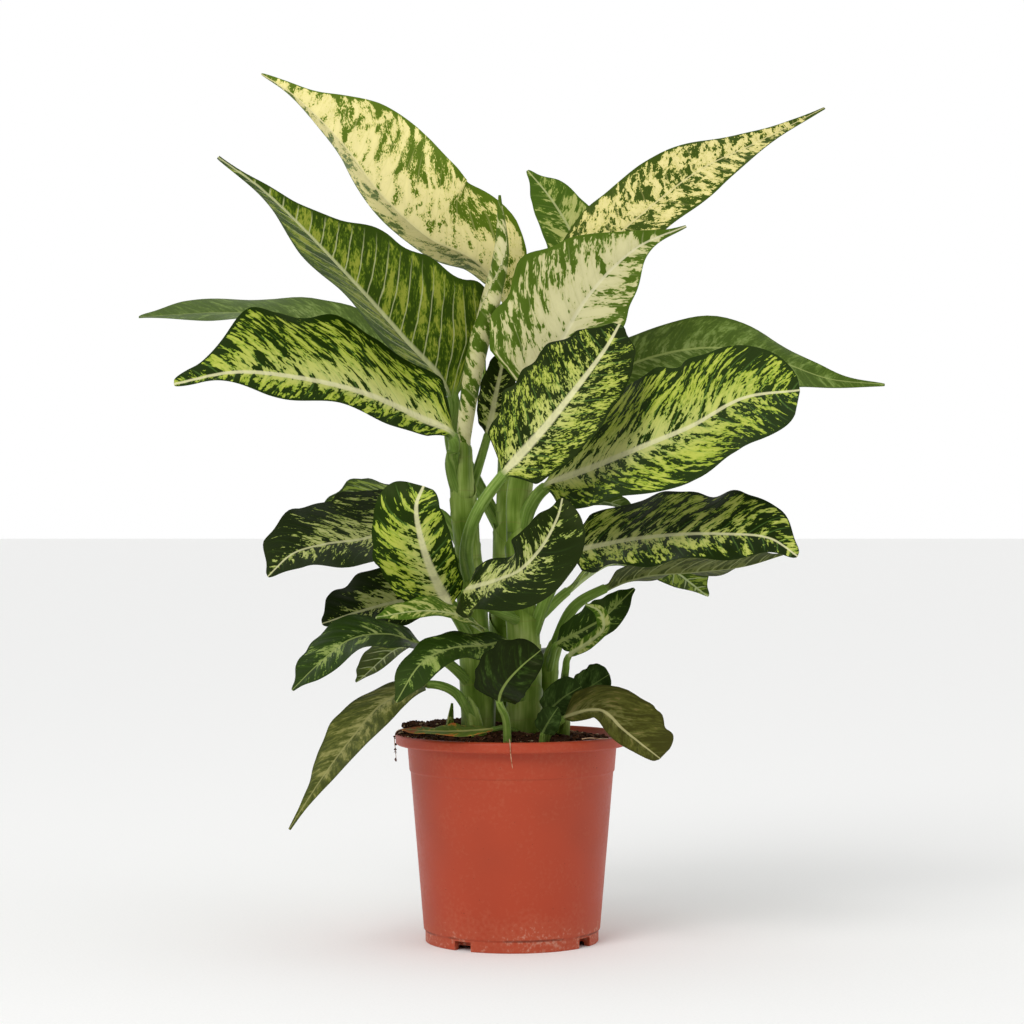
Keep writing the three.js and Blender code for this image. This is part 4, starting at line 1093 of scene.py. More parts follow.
LEAVES = (
    Leaf(
        "leaf_top_left", Slot.CREAM, Look.CREAM, Detail.LARGE, radius=4.5,
        stalk=((-2, 33, 372), (-8, 24, 422)),
        rib=(
            (-2, 22, 468), (-26, 11, 502), (-62, 5, 520), (-97, 6, 552),
            (-128, 16, 593), (-166, 40, 632), (-191, 58, 650),
        ),
        left=34, right=54, face=(-0.15, -1, -0.1), fold=(-62, -6), wave=3, waves=2.5, tip=Tip.DRAWN,
        lean=0.35,
    ),
    Leaf(
        "leaf_upper_left", Slot.OLIVE, Look.UNDERSIDE, Detail.LARGE, radius=4.5,
        stalk=((-36, -12, 338), (-45, 2, 372)),
        rib=((-44, 4, 402), (-80, -26, 445), (-122, -72, 491), (-171, -118, 539), (-202, -140, 561)),
        left=66, right=38, face=(0.3, 0.8, 0.5), fold=(38, 34), wave=3, waves=2.5,
        peak=0.31, rise=0.2, skew=0.19, tip=Tip.DRAWN,
    ),
    Leaf(
        "leaf_far_left", Slot.DARK, Look.GREEN, Detail.MEDIUM, radius=4.2,
        stalk=((-6, 33, 300), (-30, 52, 345)),
        rib=((-55, 62, 392), (-100, 85, 438), (-150, 95, 463), (-212, 95, 471), (-288, 85, 467)),
        left=36, right=34, face=(-0.1, -0.35, 0.93), fold=(8, 8), wave=3, waves=2, peak=0.5,
    ),
    Leaf(
        "leaf_left_middle", Slot.LIME, Look.LIME, Detail.LARGE, radius=4.5,
        stalk=((-35, -11, 318), (-44, -20, 350)),
        rib=(
            (-43, -34, 371), (-70, -42, 386), (-105, -66, 401),
            (-150, -92, 411), (-193, -112, 414), (-234, -128, 405),
        ),
        left=22, right=64, face=(0.2, -0.6, 0.8), fold=(-6, 14), wave=3.5, waves=2.5,
        peak=0.45, rise=0.38, tip=Tip.SHORT, lean=0.5,
    ),
    Leaf(
        "leaf_cream_center", Slot.CREAM, Look.MILKY, Detail.LARGE, radius=4.5,
        stalk=((8, -24, 338), (13, -40, 374)),
        rib=((15, -46, 398), (32, -38, 433), (56, -18, 475), (92, 3, 512), (130, 18, 530)),
        left=53, right=35, face=(0.1, -0.95, 0.3), fold=(6, 6), wave=3, waves=2.5,
        peak=0.3, rise=0.4, tip=Tip.DRAWN,
    ),
    Leaf(
        "leaf_top_right", Slot.CREAM, Look.FRECKLED, Detail.LARGE, radius=4.5,
        stalk=((3, 34, 388), (13, 43, 424)),
        rib=(
            (14, 40, 454), (48, 40, 496), (97, 45, 541),
            (143, 58, 577), (187, 77, 600), (244, 110, 632),
        ),
        left=32, right=28, face=(-0.25, -0.85, 0.45), fold=(8, 8), wave=2.5, waves=2.5,
        peak=0.38, tip=Tip.DRAWN, lean=0.25,
    ),
    Leaf(
        "leaf_back_top", Slot.PALE, Look.PALE, Detail.MEDIUM, radius=3.6,
        stalk=((-2, 33, 362), (30, 68, 404)),
        rib=((54, 78, 443), (58, 86, 480), (50, 98, 524), (31, 109, 560), (12, 116, 584)),
        left=26, right=26, face=(0.2, -0.9, 0.3), fold=(8, 8), wave=2, waves=2,
    ),
    Leaf(
        "leaf_dark_center", Slot.DARK, Look.SPECKLED, Detail.LARGE, radius=4,
        stalk=((-31, -8, 262), (-33, -42, 290), (-24, -74, 318)),
        rib=((-6, -90, 343), (24, -98, 377), (47, -92, 406), (68, -74, 435), (77, -63, 451)),
        left=38, right=32, face=(-0.1, -0.9, 0.4), fold=(4, 4), wave=2.5, waves=2, rise=0.35, lean=0.5,
    ),
    Leaf(
        "leaf_right_big", Slot.LIME, Look.LIME, Detail.LARGE, radius=4.5,
        stalk=((6, -17, 296), (13, -31, 320)),
        rib=(
            (24, -40, 334), (60, -60, 349), (96, -82, 364),
            (127, -96, 377), (162, -110, 396), (200, -122, 401),
        ),
        left=62, right=58, face=(-0.2, -0.7, 0.68), fold=(8, 8), wave=3.5, waves=2.5,
        peak=0.54, rise=0.4, skew=0.1, tip=Tip.BLUNT, lean=0.5,
    ),
    Leaf(
        "leaf_right_back", Slot.DARK, Look.GREEN, Detail.MEDIUM, radius=4,
        stalk=((-3, 33, 312), (26, 32, 370)),
        rib=(
            (50, 36, 404), (97, 47, 431), (155, 62, 442),
            (202, 74, 433), (245, 84, 419), (288, 88, 415),
        ),
        left=28, right=38, face=(0, -0.72, 0.69), fold=(8, -6), wave=3, waves=2.5, tip=Tip.DRAWN,
    ),
    Leaf(
        "leaf_right_middle", Slot.LIME, Look.SPOTTED, Detail.LARGE, radius=4,
        stalk=((9, -10, 208), (22, -18, 246), (32, -24, 268)),
        rib=(
            (40, -30, 284), (72, -48, 294), (112, -82, 300),
            (148, -108, 301), (179, -126, 298), (197, -134, 286),
        ),
        left=42, right=33, face=(0.05, -0.75, 0.66), fold=(6, 6), wave=3, waves=3, rise=0.4,
    ),
    Leaf(
        "leaf_right_under", Slot.OLIVE, Look.DULL, Detail.MEDIUM, radius=3.6,
        stalk=((31, 12, 214), (46, 7, 246)),
        rib=((69, 4, 260), (98, 3, 270), (135, 6, 273), (173, 12, 277), (202, 18, 285)),
        left=32, right=32, face=(0, 0.3, 0.95), fold=(10, 10), wave=3, waves=2.5,
    ),
    Leaf(
        "leaf_left_dark", Slot.DARK, Look.FLECKED, Detail.MEDIUM, radius=4,
        stalk=((-32, -9, 282), (-44, 2, 304)),
        rib=(
            (-56, 8, 316), (-84, -2, 306), (-108, -16, 297),
            (-136, -30, 293), (-159, -42, 286), (-176, -50, 270),
        ),
        left=40, right=52, face=(-0.1, -0.6, 0.8), fold=(6, 6), wave=3, waves=2.5, peak=0.38, rise=0.4,
    ),
    Leaf(
        "leaf_left_facing", Slot.LIME, Look.LIME, Detail.MEDIUM, radius=3.6,
        stalk=((-26, -5, 212), (-37, -26, 234)),
        rib=((-45, -38, 248), (-55, -54, 268), (-64, -70, 294), (-68, -77, 321), (-63, -73, 335)),
        left=34, right=21, face=(-0.2, -0.95, 0.2), fold=(6, 6), wave=2, waves=2,
        peak=0.55, rise=0.4, tip=Tip.BLUNT,
    ),
    Leaf(
        "leaf_left_lower_middle", Slot.DARK, Look.FLECKED, Detail.MEDIUM, radius=3.4,
        stalk=((-28, -6, 232), (-42, 2, 246)),
        rib=((-54, 8, 252), (-84, 8, 250), (-112, 2, 243), (-140, -6, 234)),
        left=26, right=36, face=(-0.1, -0.65, 0.75), fold=(4, 4), wave=2.5, waves=2, rise=0.4,
    ),
    Leaf(
        "leaf_left_hanging", Slot.DARK, Look.DULL, Detail.MEDIUM, radius=3,
        stalk=((-26, -29, 162), (-42, -38, 186)),
        rib=((-61, -46, 192), (-91, -70, 181), (-113, -94, 157), (-133, -114, 130), (-154, -130, 97)),
        left=23, right=23, face=(-0.45, -0.55, 0.7), fold=(6, 6), wave=2, waves=2,
        peak=0.36, rise=0.45, tip=Tip.DRAWN,
    ),
    Leaf(
        "leaf_left_lower", Slot.DARK, Look.SPARSE, Detail.MEDIUM, radius=3.4,
        stalk=((-25, -4, 184), (-44, -20, 204)),
        rib=((-64, -33, 218), (-88, -46, 228), (-116, -60, 225), (-138, -72, 208), (-156, -80, 190)),
        left=26, right=26, face=(-0.3, -0.5, 0.8), fold=(6, 6), wave=2.5, waves=2,
    ),
    Leaf(
        "leaf_center_front", Slot.DARK, Look.FLECKED, Detail.MEDIUM, radius=3.4,
        stalk=((7, -13, 236), (-12, -46, 246)),
        rib=(
            (-33, -68, 259), (-11, -92, 268), (6, -112, 276),
            (22, -124, 294), (32, -128, 314), (35, -124, 326),
        ),
        left=20, right=40, face=(0, -0.8, 0.6), fold=(14, 14), wave=2, waves=2, rise=0.4,
    ),
    Leaf(
        "leaf_left_low", Slot.DARK, Look.SPARSE, Detail.SMALL, radius=2.8,
        stalk=((8, -9, 168), (4, -38, 200)),
        rib=((-1, -54, 222), (-21, -70, 221), (-44, -92, 220), (-64, -114, 210), (-80, -128, 185)),
        left=20, right=16, face=(-0.3, -0.75, 0.6), fold=(6, 6), wave=1.5, waves=2, rise=0.4,
    ),
    Leaf(
        "leaf_left_pale", Slot.PALE, Look.PALE, Detail.SMALL, radius=2.8,
        stalk=((8, -10, 190), (-6, -34, 212)),
        rib=((-20, -50, 231), (-41, -64, 243), (-65, -78, 246), (-96, -92, 242)),
        left=18, right=18, face=(0.1, -0.35, 0.93), fold=(8, 8), wave=1.5, waves=2,
    ),
    Leaf(
        "leaf_front_heart", Slot.DARK, Look.DEEP, Detail.SMALL, radius=2.6,
        stalk=((-4, -62, 112), (-4, -68, 166)),
        rib=((-9, -88, 183), (-5, -101, 195), (6, -109, 208), (20, -113, 220)),
        left=24, right=15, face=(-0.1, -0.95, 0.2), fold=(6, 6), wave=1, waves=1.5, rise=0.35,
        tip=Tip.BLUNT,
    ),
    Leaf(
        "leaf_right_small", Slot.DARK, Look.SPARSE, Detail.SMALL, radius=2.6,
        stalk=((27, 15, 196), (29, 0, 208)),
        rib=((33, -12, 219), (50, -22, 229), (66, -30, 239), (89, -36, 261)),
        left=15, right=15, face=(-0.2, -0.8, 0.5), fold=(6, 6), wave=1.5, waves=2,
    ),
    Leaf(
        "leaf_right_curled", Slot.PALE, Look.PALE, Detail.SMALL, radius=2.4,
        stalk=((38, -19, 190), (39, -34, 202)),
        rib=((41, -44, 212), (56, -52, 223), (66, -56, 233), (63, -58, 245), (53, -54, 250)),
        left=5, right=5, face=(-0.3, -0.8, 0.5), fold=(10, 10), wave=1, waves=1.5,
    ),
    Leaf(
        "leaf_round_right", Slot.DARK, Look.ROUND, Detail.SMALL, radius=2.2,
        stalk=((37, -15, 158), (41, -16, 170)),
        rib=((46, -18, 179), (58, -22, 189), (71, -28, 198)),
        left=14, right=13, face=(-0.3, -0.85, 0.4), fold=(4, 4), wave=1, waves=1.5,
        peak=0.5, rise=0.35, tip=Tip.BLUNT,
    ),
    Leaf(
        "leaf_round_front", Slot.DARK, Look.ROUND, Detail.SMALL, radius=2.2,
        stalk=((24, -38, 112), (24, -39, 158)),
        rib=((26, -37, 170), (36, -40, 181), (50, -43, 190)),
        left=13, right=14, face=(-0.2, -0.9, 0.35), fold=(4, 4), wave=1, waves=1.5,
        peak=0.5, rise=0.35, tip=Tip.BLUNT,
    ),
    Leaf(
        "leaf_soil_dark", Slot.DARK, Look.ROUND, Detail.SMALL, radius=1.8,
        stalk=((20, -62, 126), (21, -63, 150)),
        rib=((22, -65, 158), (27, -68, 168), (33, -70, 177)),
        left=9, right=9, face=(-0.2, -0.9, 0.35), fold=(6, 6), wave=1, waves=1.5,
    ),
    Leaf(
        "leaf_right_bottom", Slot.OLIVE, Look.AGEING, Detail.SMALL, radius=2.6,
        stalk=((20, -54, 112), (25, -56, 155)),
        rib=((37, -60, 168), (63, -72, 175), (79, -84, 162), (92, -92, 152), (104, -98, 143)),
        left=32, right=12, face=(0.15, -0.6, 0.78), fold=(4, 4), wave=1.5, waves=2,
        peak=0.55, rise=0.4, tip=Tip.BLUNT,
    ),
    Leaf(
        "leaf_back_small_right", Slot.PALE, Look.GREEN, Detail.SMALL, radius=2.6,
        stalk=((-5, 33, 268), (24, 38, 304)),
        rib=((45, 40, 320), (65, 48, 326), (93, 58, 319)),
        left=12, right=12, face=(0, 0.4, 0.9), fold=(8, 8), wave=1, waves=1.5,
    ),
    Leaf(
        "leaf_wilted", Slot.WILTED, Look.WILTED, Detail.SMALL, radius=1.8,
        stalk=((8, -9, 152), (-5, -38, 160)),
        rib=((-14, -64, 161), (-34, -76, 160.5), (-56, -71, 160), (-79, -52, 160)),
        left=9, right=9, face=(0, -0.3, 0.95), fold=(6, 6), wave=1, waves=2,
    ),
    Leaf(
        "leaf_inner_dark", Slot.DARK, Look.FLECKED, Detail.SMALL, radius=3,
        stalk=((-34, -10, 322), (-25, 2, 350)),
        rib=((-18, 6, 374), (-12, 8, 404), (-4, 10, 440)),
        left=12, right=13, face=(0, -0.95, 0.2), fold=(6, 6), wave=1.5, waves=1.5,
    ),
    Leaf(
        "leaf_back_high", Slot.LIME, Look.LIME, Detail.MEDIUM, radius=3.8,
        stalk=((-4, 33, 352), (-16, 58, 392)),
        rib=((-20, 72, 418), (-40, 100, 452), (-64, 128, 474), (-92, 150, 478)),
        left=30, right=30, face=(0.1, 0.6, 0.8), fold=(8, 8), wave=2.5, waves=2,
    ),
    Leaf(
        "leaf_back_left", Slot.DARK, Look.SPOTTED, Detail.MEDIUM, radius=3.8,
        stalk=((-7, 33, 232), (-24, 54, 270)),
        rib=((-38, 64, 294), (-72, 92, 318), (-114, 124, 320), (-156, 148, 298)),
        left=38, right=34, face=(-0.1, 0.5, 0.85), fold=(8, 8), wave=2.5, waves=2,
    ),
    Leaf(
        "leaf_back_right", Slot.DARK, Look.SPOTTED, Detail.MEDIUM, radius=3.6,
        stalk=((-6, 33, 212), (22, 54, 238)),
        rib=((42, 64, 256), (78, 92, 278), (118, 124, 276), (156, 148, 250)),
        left=34, right=38, face=(0.1, 0.5, 0.85), fold=(8, 8), wave=2.5, waves=2,
    ),
    Leaf(
        "leaf_back_low", Slot.DARK, Look.SPARSE, Detail.SMALL, radius=2.8,
        stalk=((-8, 32, 164), (2, 56, 186)),
        rib=((8, 68, 196), (14, 100, 208), (20, 138, 190)),
        left=22, right=22, face=(0, 0.5, 0.85), fold=(6, 6), wave=1.5, waves=1.5,
    ),
    Leaf(
        "leaf_back_low_left", Slot.DARK, Look.SPARSE, Detail.SMALL, radius=2.8,
        stalk=((-8, 32, 178), (-36, 44, 194)),
        rib=((-52, 54, 204), (-84, 84, 214), (-122, 114, 184)),
        left=20, right=20, face=(-0.3, 0.4, 0.85), fold=(6, 6), wave=1.5, waves=1.5,
    ),
)


@dataclass
class Spear:
    """A leaf still rolled up: a spiral of blade that ends in a point. Sizes are in mm."""

    name: str
    slot: Slot
    look: Look
    line: tuple[Knot, ...]
    around: int = 36
    step: float = 3.0
    overlap: float = 0.13  # how far the outer turn stands over the inner one, as a share of the radius
    wind: float = 1.1  # turns of the seam along the spear

    def build(self, index: int) -> bpy.types.Object:
        """Makes the rolled leaf.

        Args:
            index: the leaf's number, which shifts its flecks.

        Returns:
            The piece.
        """
        route = Route(self.line)
        count = int(route.length / self.step)
        rows, veins, places = [], [], []
        angle = circle(self.around)
        for k in range(count + 1):
            distance = route.length * k / count
            turn = (angle / (2 * math.pi) + self.wind * k / count) % 1.0
            radius = route.radius_at(distance) * (1 - self.overlap / 2 + self.overlap * turn)
            rows.append(round_row(route, distance, angle, radius))
            each = np.ones(self.around)
            veins.append(np.column_stack([distance - 26 * turn, 30 * turn, 100.0 * index * each]))
            share = distance / route.length
            places.append(np.column_stack([0.2 + 0.65 * turn, (0.05 + 0.94 * share) * each, each]))
        faces = ring_faces(count + 1, self.around, capped=True)
        return make_piece(
            self.name + "_spear", np.vstack(rows), faces, self.look.value, (self.name,),
            {"vein": np.vstack(veins), "place": np.vstack(places)},
        )


SPEARS = (
    Spear(
        "leaf_rolled", Slot.CREAM, Look.MILKY,
        (
            (-36, -14, 358, 4.4), (-35, -16, 373.2, 5.5), (-27, -22, 426, 7.2), (-16, -26, 470, 7.4),
            (-8, -27, 506, 5.6), (-9, -26, 548, 1),
        ),
    ),
    Spear(
        "shoot_left", Slot.PALE, Look.PALE,
        ((-46, -12, 118, 3.4), (-46, -12, 156, 3.4), (-44, -13, 176, 0.9)),
    ),
)


# ---- canes ---------------------------------------------------------------
@dataclass
class Cane:
    """One green cane with raised leaf scars and the sheaths that clasp it. Sizes are in mm."""

    name: str
    line: tuple[Knot, ...]
    around: int = 32
    step: float = 2.0
    scar_spacing: float = 24.0
    scar_height: float = 0.5
    lobe: float = 0.22  # how deep the furrows between the clasping leaf bases are, as a share of the radius
    crown: float = 14.0  # length of the rounded top
    sheath_below: float = 36.0
    sheath_slant: float = 11.0
    sheath_flare: float = 1.5
    sheath_thick: float = 0.55
    sheath_rows: int = 14
    sheath_inside: int = 5  # how many rows go back down inside the lip
    sheath_reach: float = 6.0  # how near to the cane's middle a stalk with a sheath starts
    sheath_lowest: float = 55.0  # how far above the cane's foot

    def rings(self, route: Route) -> list[Array]:
        """Lays the rings of the cane itself.

        Args:
            route: the cane's line.

        Returns:
            A row of points for each ring.
        """
        count = int(route.length / self.step)
        angle = circle(self.around)
        rows = []
        for k in range(count + 1):
            distance = route.length * k / count
            left = route.length - distance
            taper = math.sqrt(max(0.02, 1 - (1 - min(1.0, left / self.crown)) ** 2))
            beat = (distance / self.scar_spacing) % 1.0
            scar = self.scar_height * math.exp(-((min(beat, 1 - beat) * self.scar_spacing / 1.6) ** 2))
            bundle = self.lobe * (np.abs(np.cos(1.5 * angle + self.line[0][0] + distance / 90)) - 0.75)
            radius = (route.radius_at(distance) + scar) * taper * (1 + bundle)
            rows.append(round_row(route, distance, angle, radius))
        return rows

    def sheath(self, route: Route, place: Point, towards: Array) -> list[Array]:
        """Lays the rings of one clasping leaf base, a thin sleeve with a slanted lip.

        Args:
            route: the cane's line.
            place: where the leaf's stalk starts.
            towards: the direction that the stalk leaves in.

        Returns:
            A row of points for each ring, outside first and then back down inside.
        """
        nearest = float(route.reach[np.argmin(np.linalg.norm(route.line - np.array(place), axis=1))])
        angle = circle(self.around)
        _, way = route.at(nearest)
        normal, side = across_frame(way, FRONT)
        facing = math.atan2(float(np.dot(towards, normal)), float(np.dot(towards, side)))
        outside = [(i / self.sheath_rows, 0.0) for i in range(self.sheath_rows + 1)]
        inside = [(share, self.sheath_thick) for share, _ in reversed(outside[-self.sheath_inside:])]
        rows = []
        for share, shrink in outside + inside:
            lift = self.sheath_below * (share - 1) + share**2 * self.sheath_slant * np.cos(angle - facing)
            ring = np.empty((self.around, 3))
            for j in range(self.around):
                distance = min(max(nearest + lift[j], 0.0), route.length - 4)
                radius = route.radius_at(distance) + 0.15 + self.sheath_flare * share**1.5 - shrink
                ring[j] = round_row(route, distance, angle[j:j + 1], radius)[0]
            rows.append(ring)
        return rows

    def build(self, index: int, leaves: tuple[Leaf, ...]) -> bpy.types.Object:
        """Makes the cane with its sheaths.

        Args:
            index: the cane's number, which shifts its streaks.
            leaves: the leaves that may stand on it.

        Returns:
            The piece.
        """
        route = Route(self.line)
        rows = self.rings(route)
        faces = ring_faces(len(rows), self.around, capped=True)
        for leaf in leaves:
            place = np.array(leaf.stalk[0])
            away = float(np.min(np.linalg.norm(route.line - place, axis=1)))
            if away > self.sheath_reach or place[2] < route.line[0][2] + self.sheath_lowest:
                continue
            lip = self.sheath(route, leaf.stalk[0], np.array(leaf.stalk[1]) - place)
            faces.extend(ring_faces(len(lip), self.around, closed=True, offset=len(rows) * self.around))
            rows.extend(lip)
        points = np.vstack(rows)
        around = np.tile(9 * circle(self.around), len(rows))
        veins = np.column_stack([points[:, 2], around, np.full(len(points), 50.0 * index)])
        return make_piece(
            self.name + "_stem", points, faces, STEM, (self.name,), {"vein": veins}
        )


CANES = (
    Cane(
        "cane_left",
        (
            (-24, -2, 100, 13), (-26, -4, 200, 11.5), (-31, -8, 270, 9.5), (-36, -12, 330, 8.5),
            (-36, -16, 372, 6.5),
        ),
    ),
    Cane(
        "cane_center",
        ((8, -8, 100, 13.5), (9, -10, 200, 12), (6, -15, 270, 9.5), (5, -20, 325, 8.5), (9, -26, 356, 6.5)),
    ),
    Cane("cane_right", ((30, 22, 100, 7), (28, 18, 160, 7), (27, 15, 200, 6.5), (33, 11, 224, 5))),
    Cane("cane_back", ((-8, 32, 100, 10), (-6, 33, 250, 9.5), (-2, 33, 340, 8.5), (2, 34, 400, 6.5))),
    Cane("cane_low_left", ((-24, -28, 100, 5.5), (-26, -29, 160, 5.5), (-32, -29, 182, 4))),
    Cane("cane_low_right", ((36, -14, 100, 4.5), (37, -15, 160, 4.5), (38, -20, 196, 3.5))),
)


# ---- pot -----------------------------------------------------------------
@dataclass
class NurseryPot:
    """The moulded pot: lip, step line, tapered wall, notched foot ring and drained base. Sizes are in mm."""

    around: int = 160
    corner: float = 0.7
    corner_steps: int = 3
    notch: Point = (14.0, 16.0, 7.0)  # width, depth, height
    notch_first: float = -124.0
    notch_count: int = 4
    foot_radius: float = 64.0
    drain: Point = (4.5, 40.0, 6)  # radius, ring radius, count
    profile: tuple[Span, ...] = (
        (0, 3), (59, 3), (59.6, 0), (64, 0), (64, 8), (65.2, 9.2), (75, 125), (75.9, 126.2),
        (77.4, 145), (84.8, 145), (86, 146.2), (86, 151.8), (84.8, 153), (82.4, 153), (81.2, 151.8),
        (75.8, 143.8), (73.4, 125), (63.6, 10), (59.9, 6), (0, 6),
    )

    def rounded(self) -> list[Span]:
        """Rounds each corner of the profile with a small arc.

        Returns:
            Radius and height of each point, from the middle below to the middle above.
        """
        line = [self.profile[0]]
        for before, here, after in zip(self.profile, self.profile[1:], self.profile[2:]):
            corner = Vector(here)
            back, ahead = Vector(before) - corner, Vector(after) - corner
            reach = min(self.corner, back.length * 0.4, ahead.length * 0.4)
            start, end = corner + back.normalized() * reach, corner + ahead.normalized() * reach
            for i in range(self.corner_steps + 1):
                t = i / self.corner_steps
                line.append(tuple((1 - t) ** 2 * start + 2 * t * (1 - t) * corner + t**2 * end))
        line.append(self.profile[-1])
        return line

    def cutters(self) -> list[bpy.types.Object]:
        """Makes the blocks and rods that cut the notches and the drain holes.

        Returns:
            The blocks and rods.
        """
        made = []
        for i in range(self.notch_count):
            turn = math.radians(self.notch_first + 360 * i / self.notch_count)
            bpy.ops.mesh.primitive_cube_add(size=MM)
            block = bpy.context.object
            block.scale = (self.notch[1], self.notch[0], 2 * self.notch[2])
            block.location = (*polar(self.foot_radius * MM, turn), 0)
            block.rotation_euler = (0, 0, turn)
            made.append(block)
        radius, ring, count = self.drain
        for i in range(int(count)):
            turn = 2 * math.pi * i / count
            bpy.ops.mesh.primitive_cylinder_add(vertices=28, radius=radius * MM, depth=30 * MM)
            rod = bpy.context.object
            rod.location = (*polar(ring * MM, turn), 4 * MM)
            made.append(rod)
        return made

    def build(self) -> bpy.types.Object:
        """Turns the pot and cuts its notches and holes.

        Returns:
            The piece.
        """
        line = self.rounded()
        turns = circle(self.around)
        rows = [
            np.column_stack([r * np.cos(turns), r * np.sin(turns), np.full(self.around, z)])
            for r, z in line[1:-1]
        ]
        points = np.vstack([*rows, [[0, 0, line[0][1]]], [[0, 0, line[-1][1]]]])
        faces = turned_faces(len(rows), self.around)
        pot = make_piece("pot_shell", points, faces, POT_PLASTIC, ("pot",))
        cutters = self.cutters()
        for cutter in cutters:
            cut = pot.modifiers.new(cutter.name, "BOOLEAN")
            cut.operation, cut.solver, cut.object = "DIFFERENCE", "EXACT", cutter
        result = bpy.data.meshes.new_from_object(pot.evaluated_get(bpy.context.evaluated_depsgraph_get()))
        pot.modifiers.clear()
        pot.data = result
        result.set_sharp_from_angle(angle=SHARP_EDGE)
        for cutter in cutters:
            bpy.data.objects.remove(cutter)
        return pot


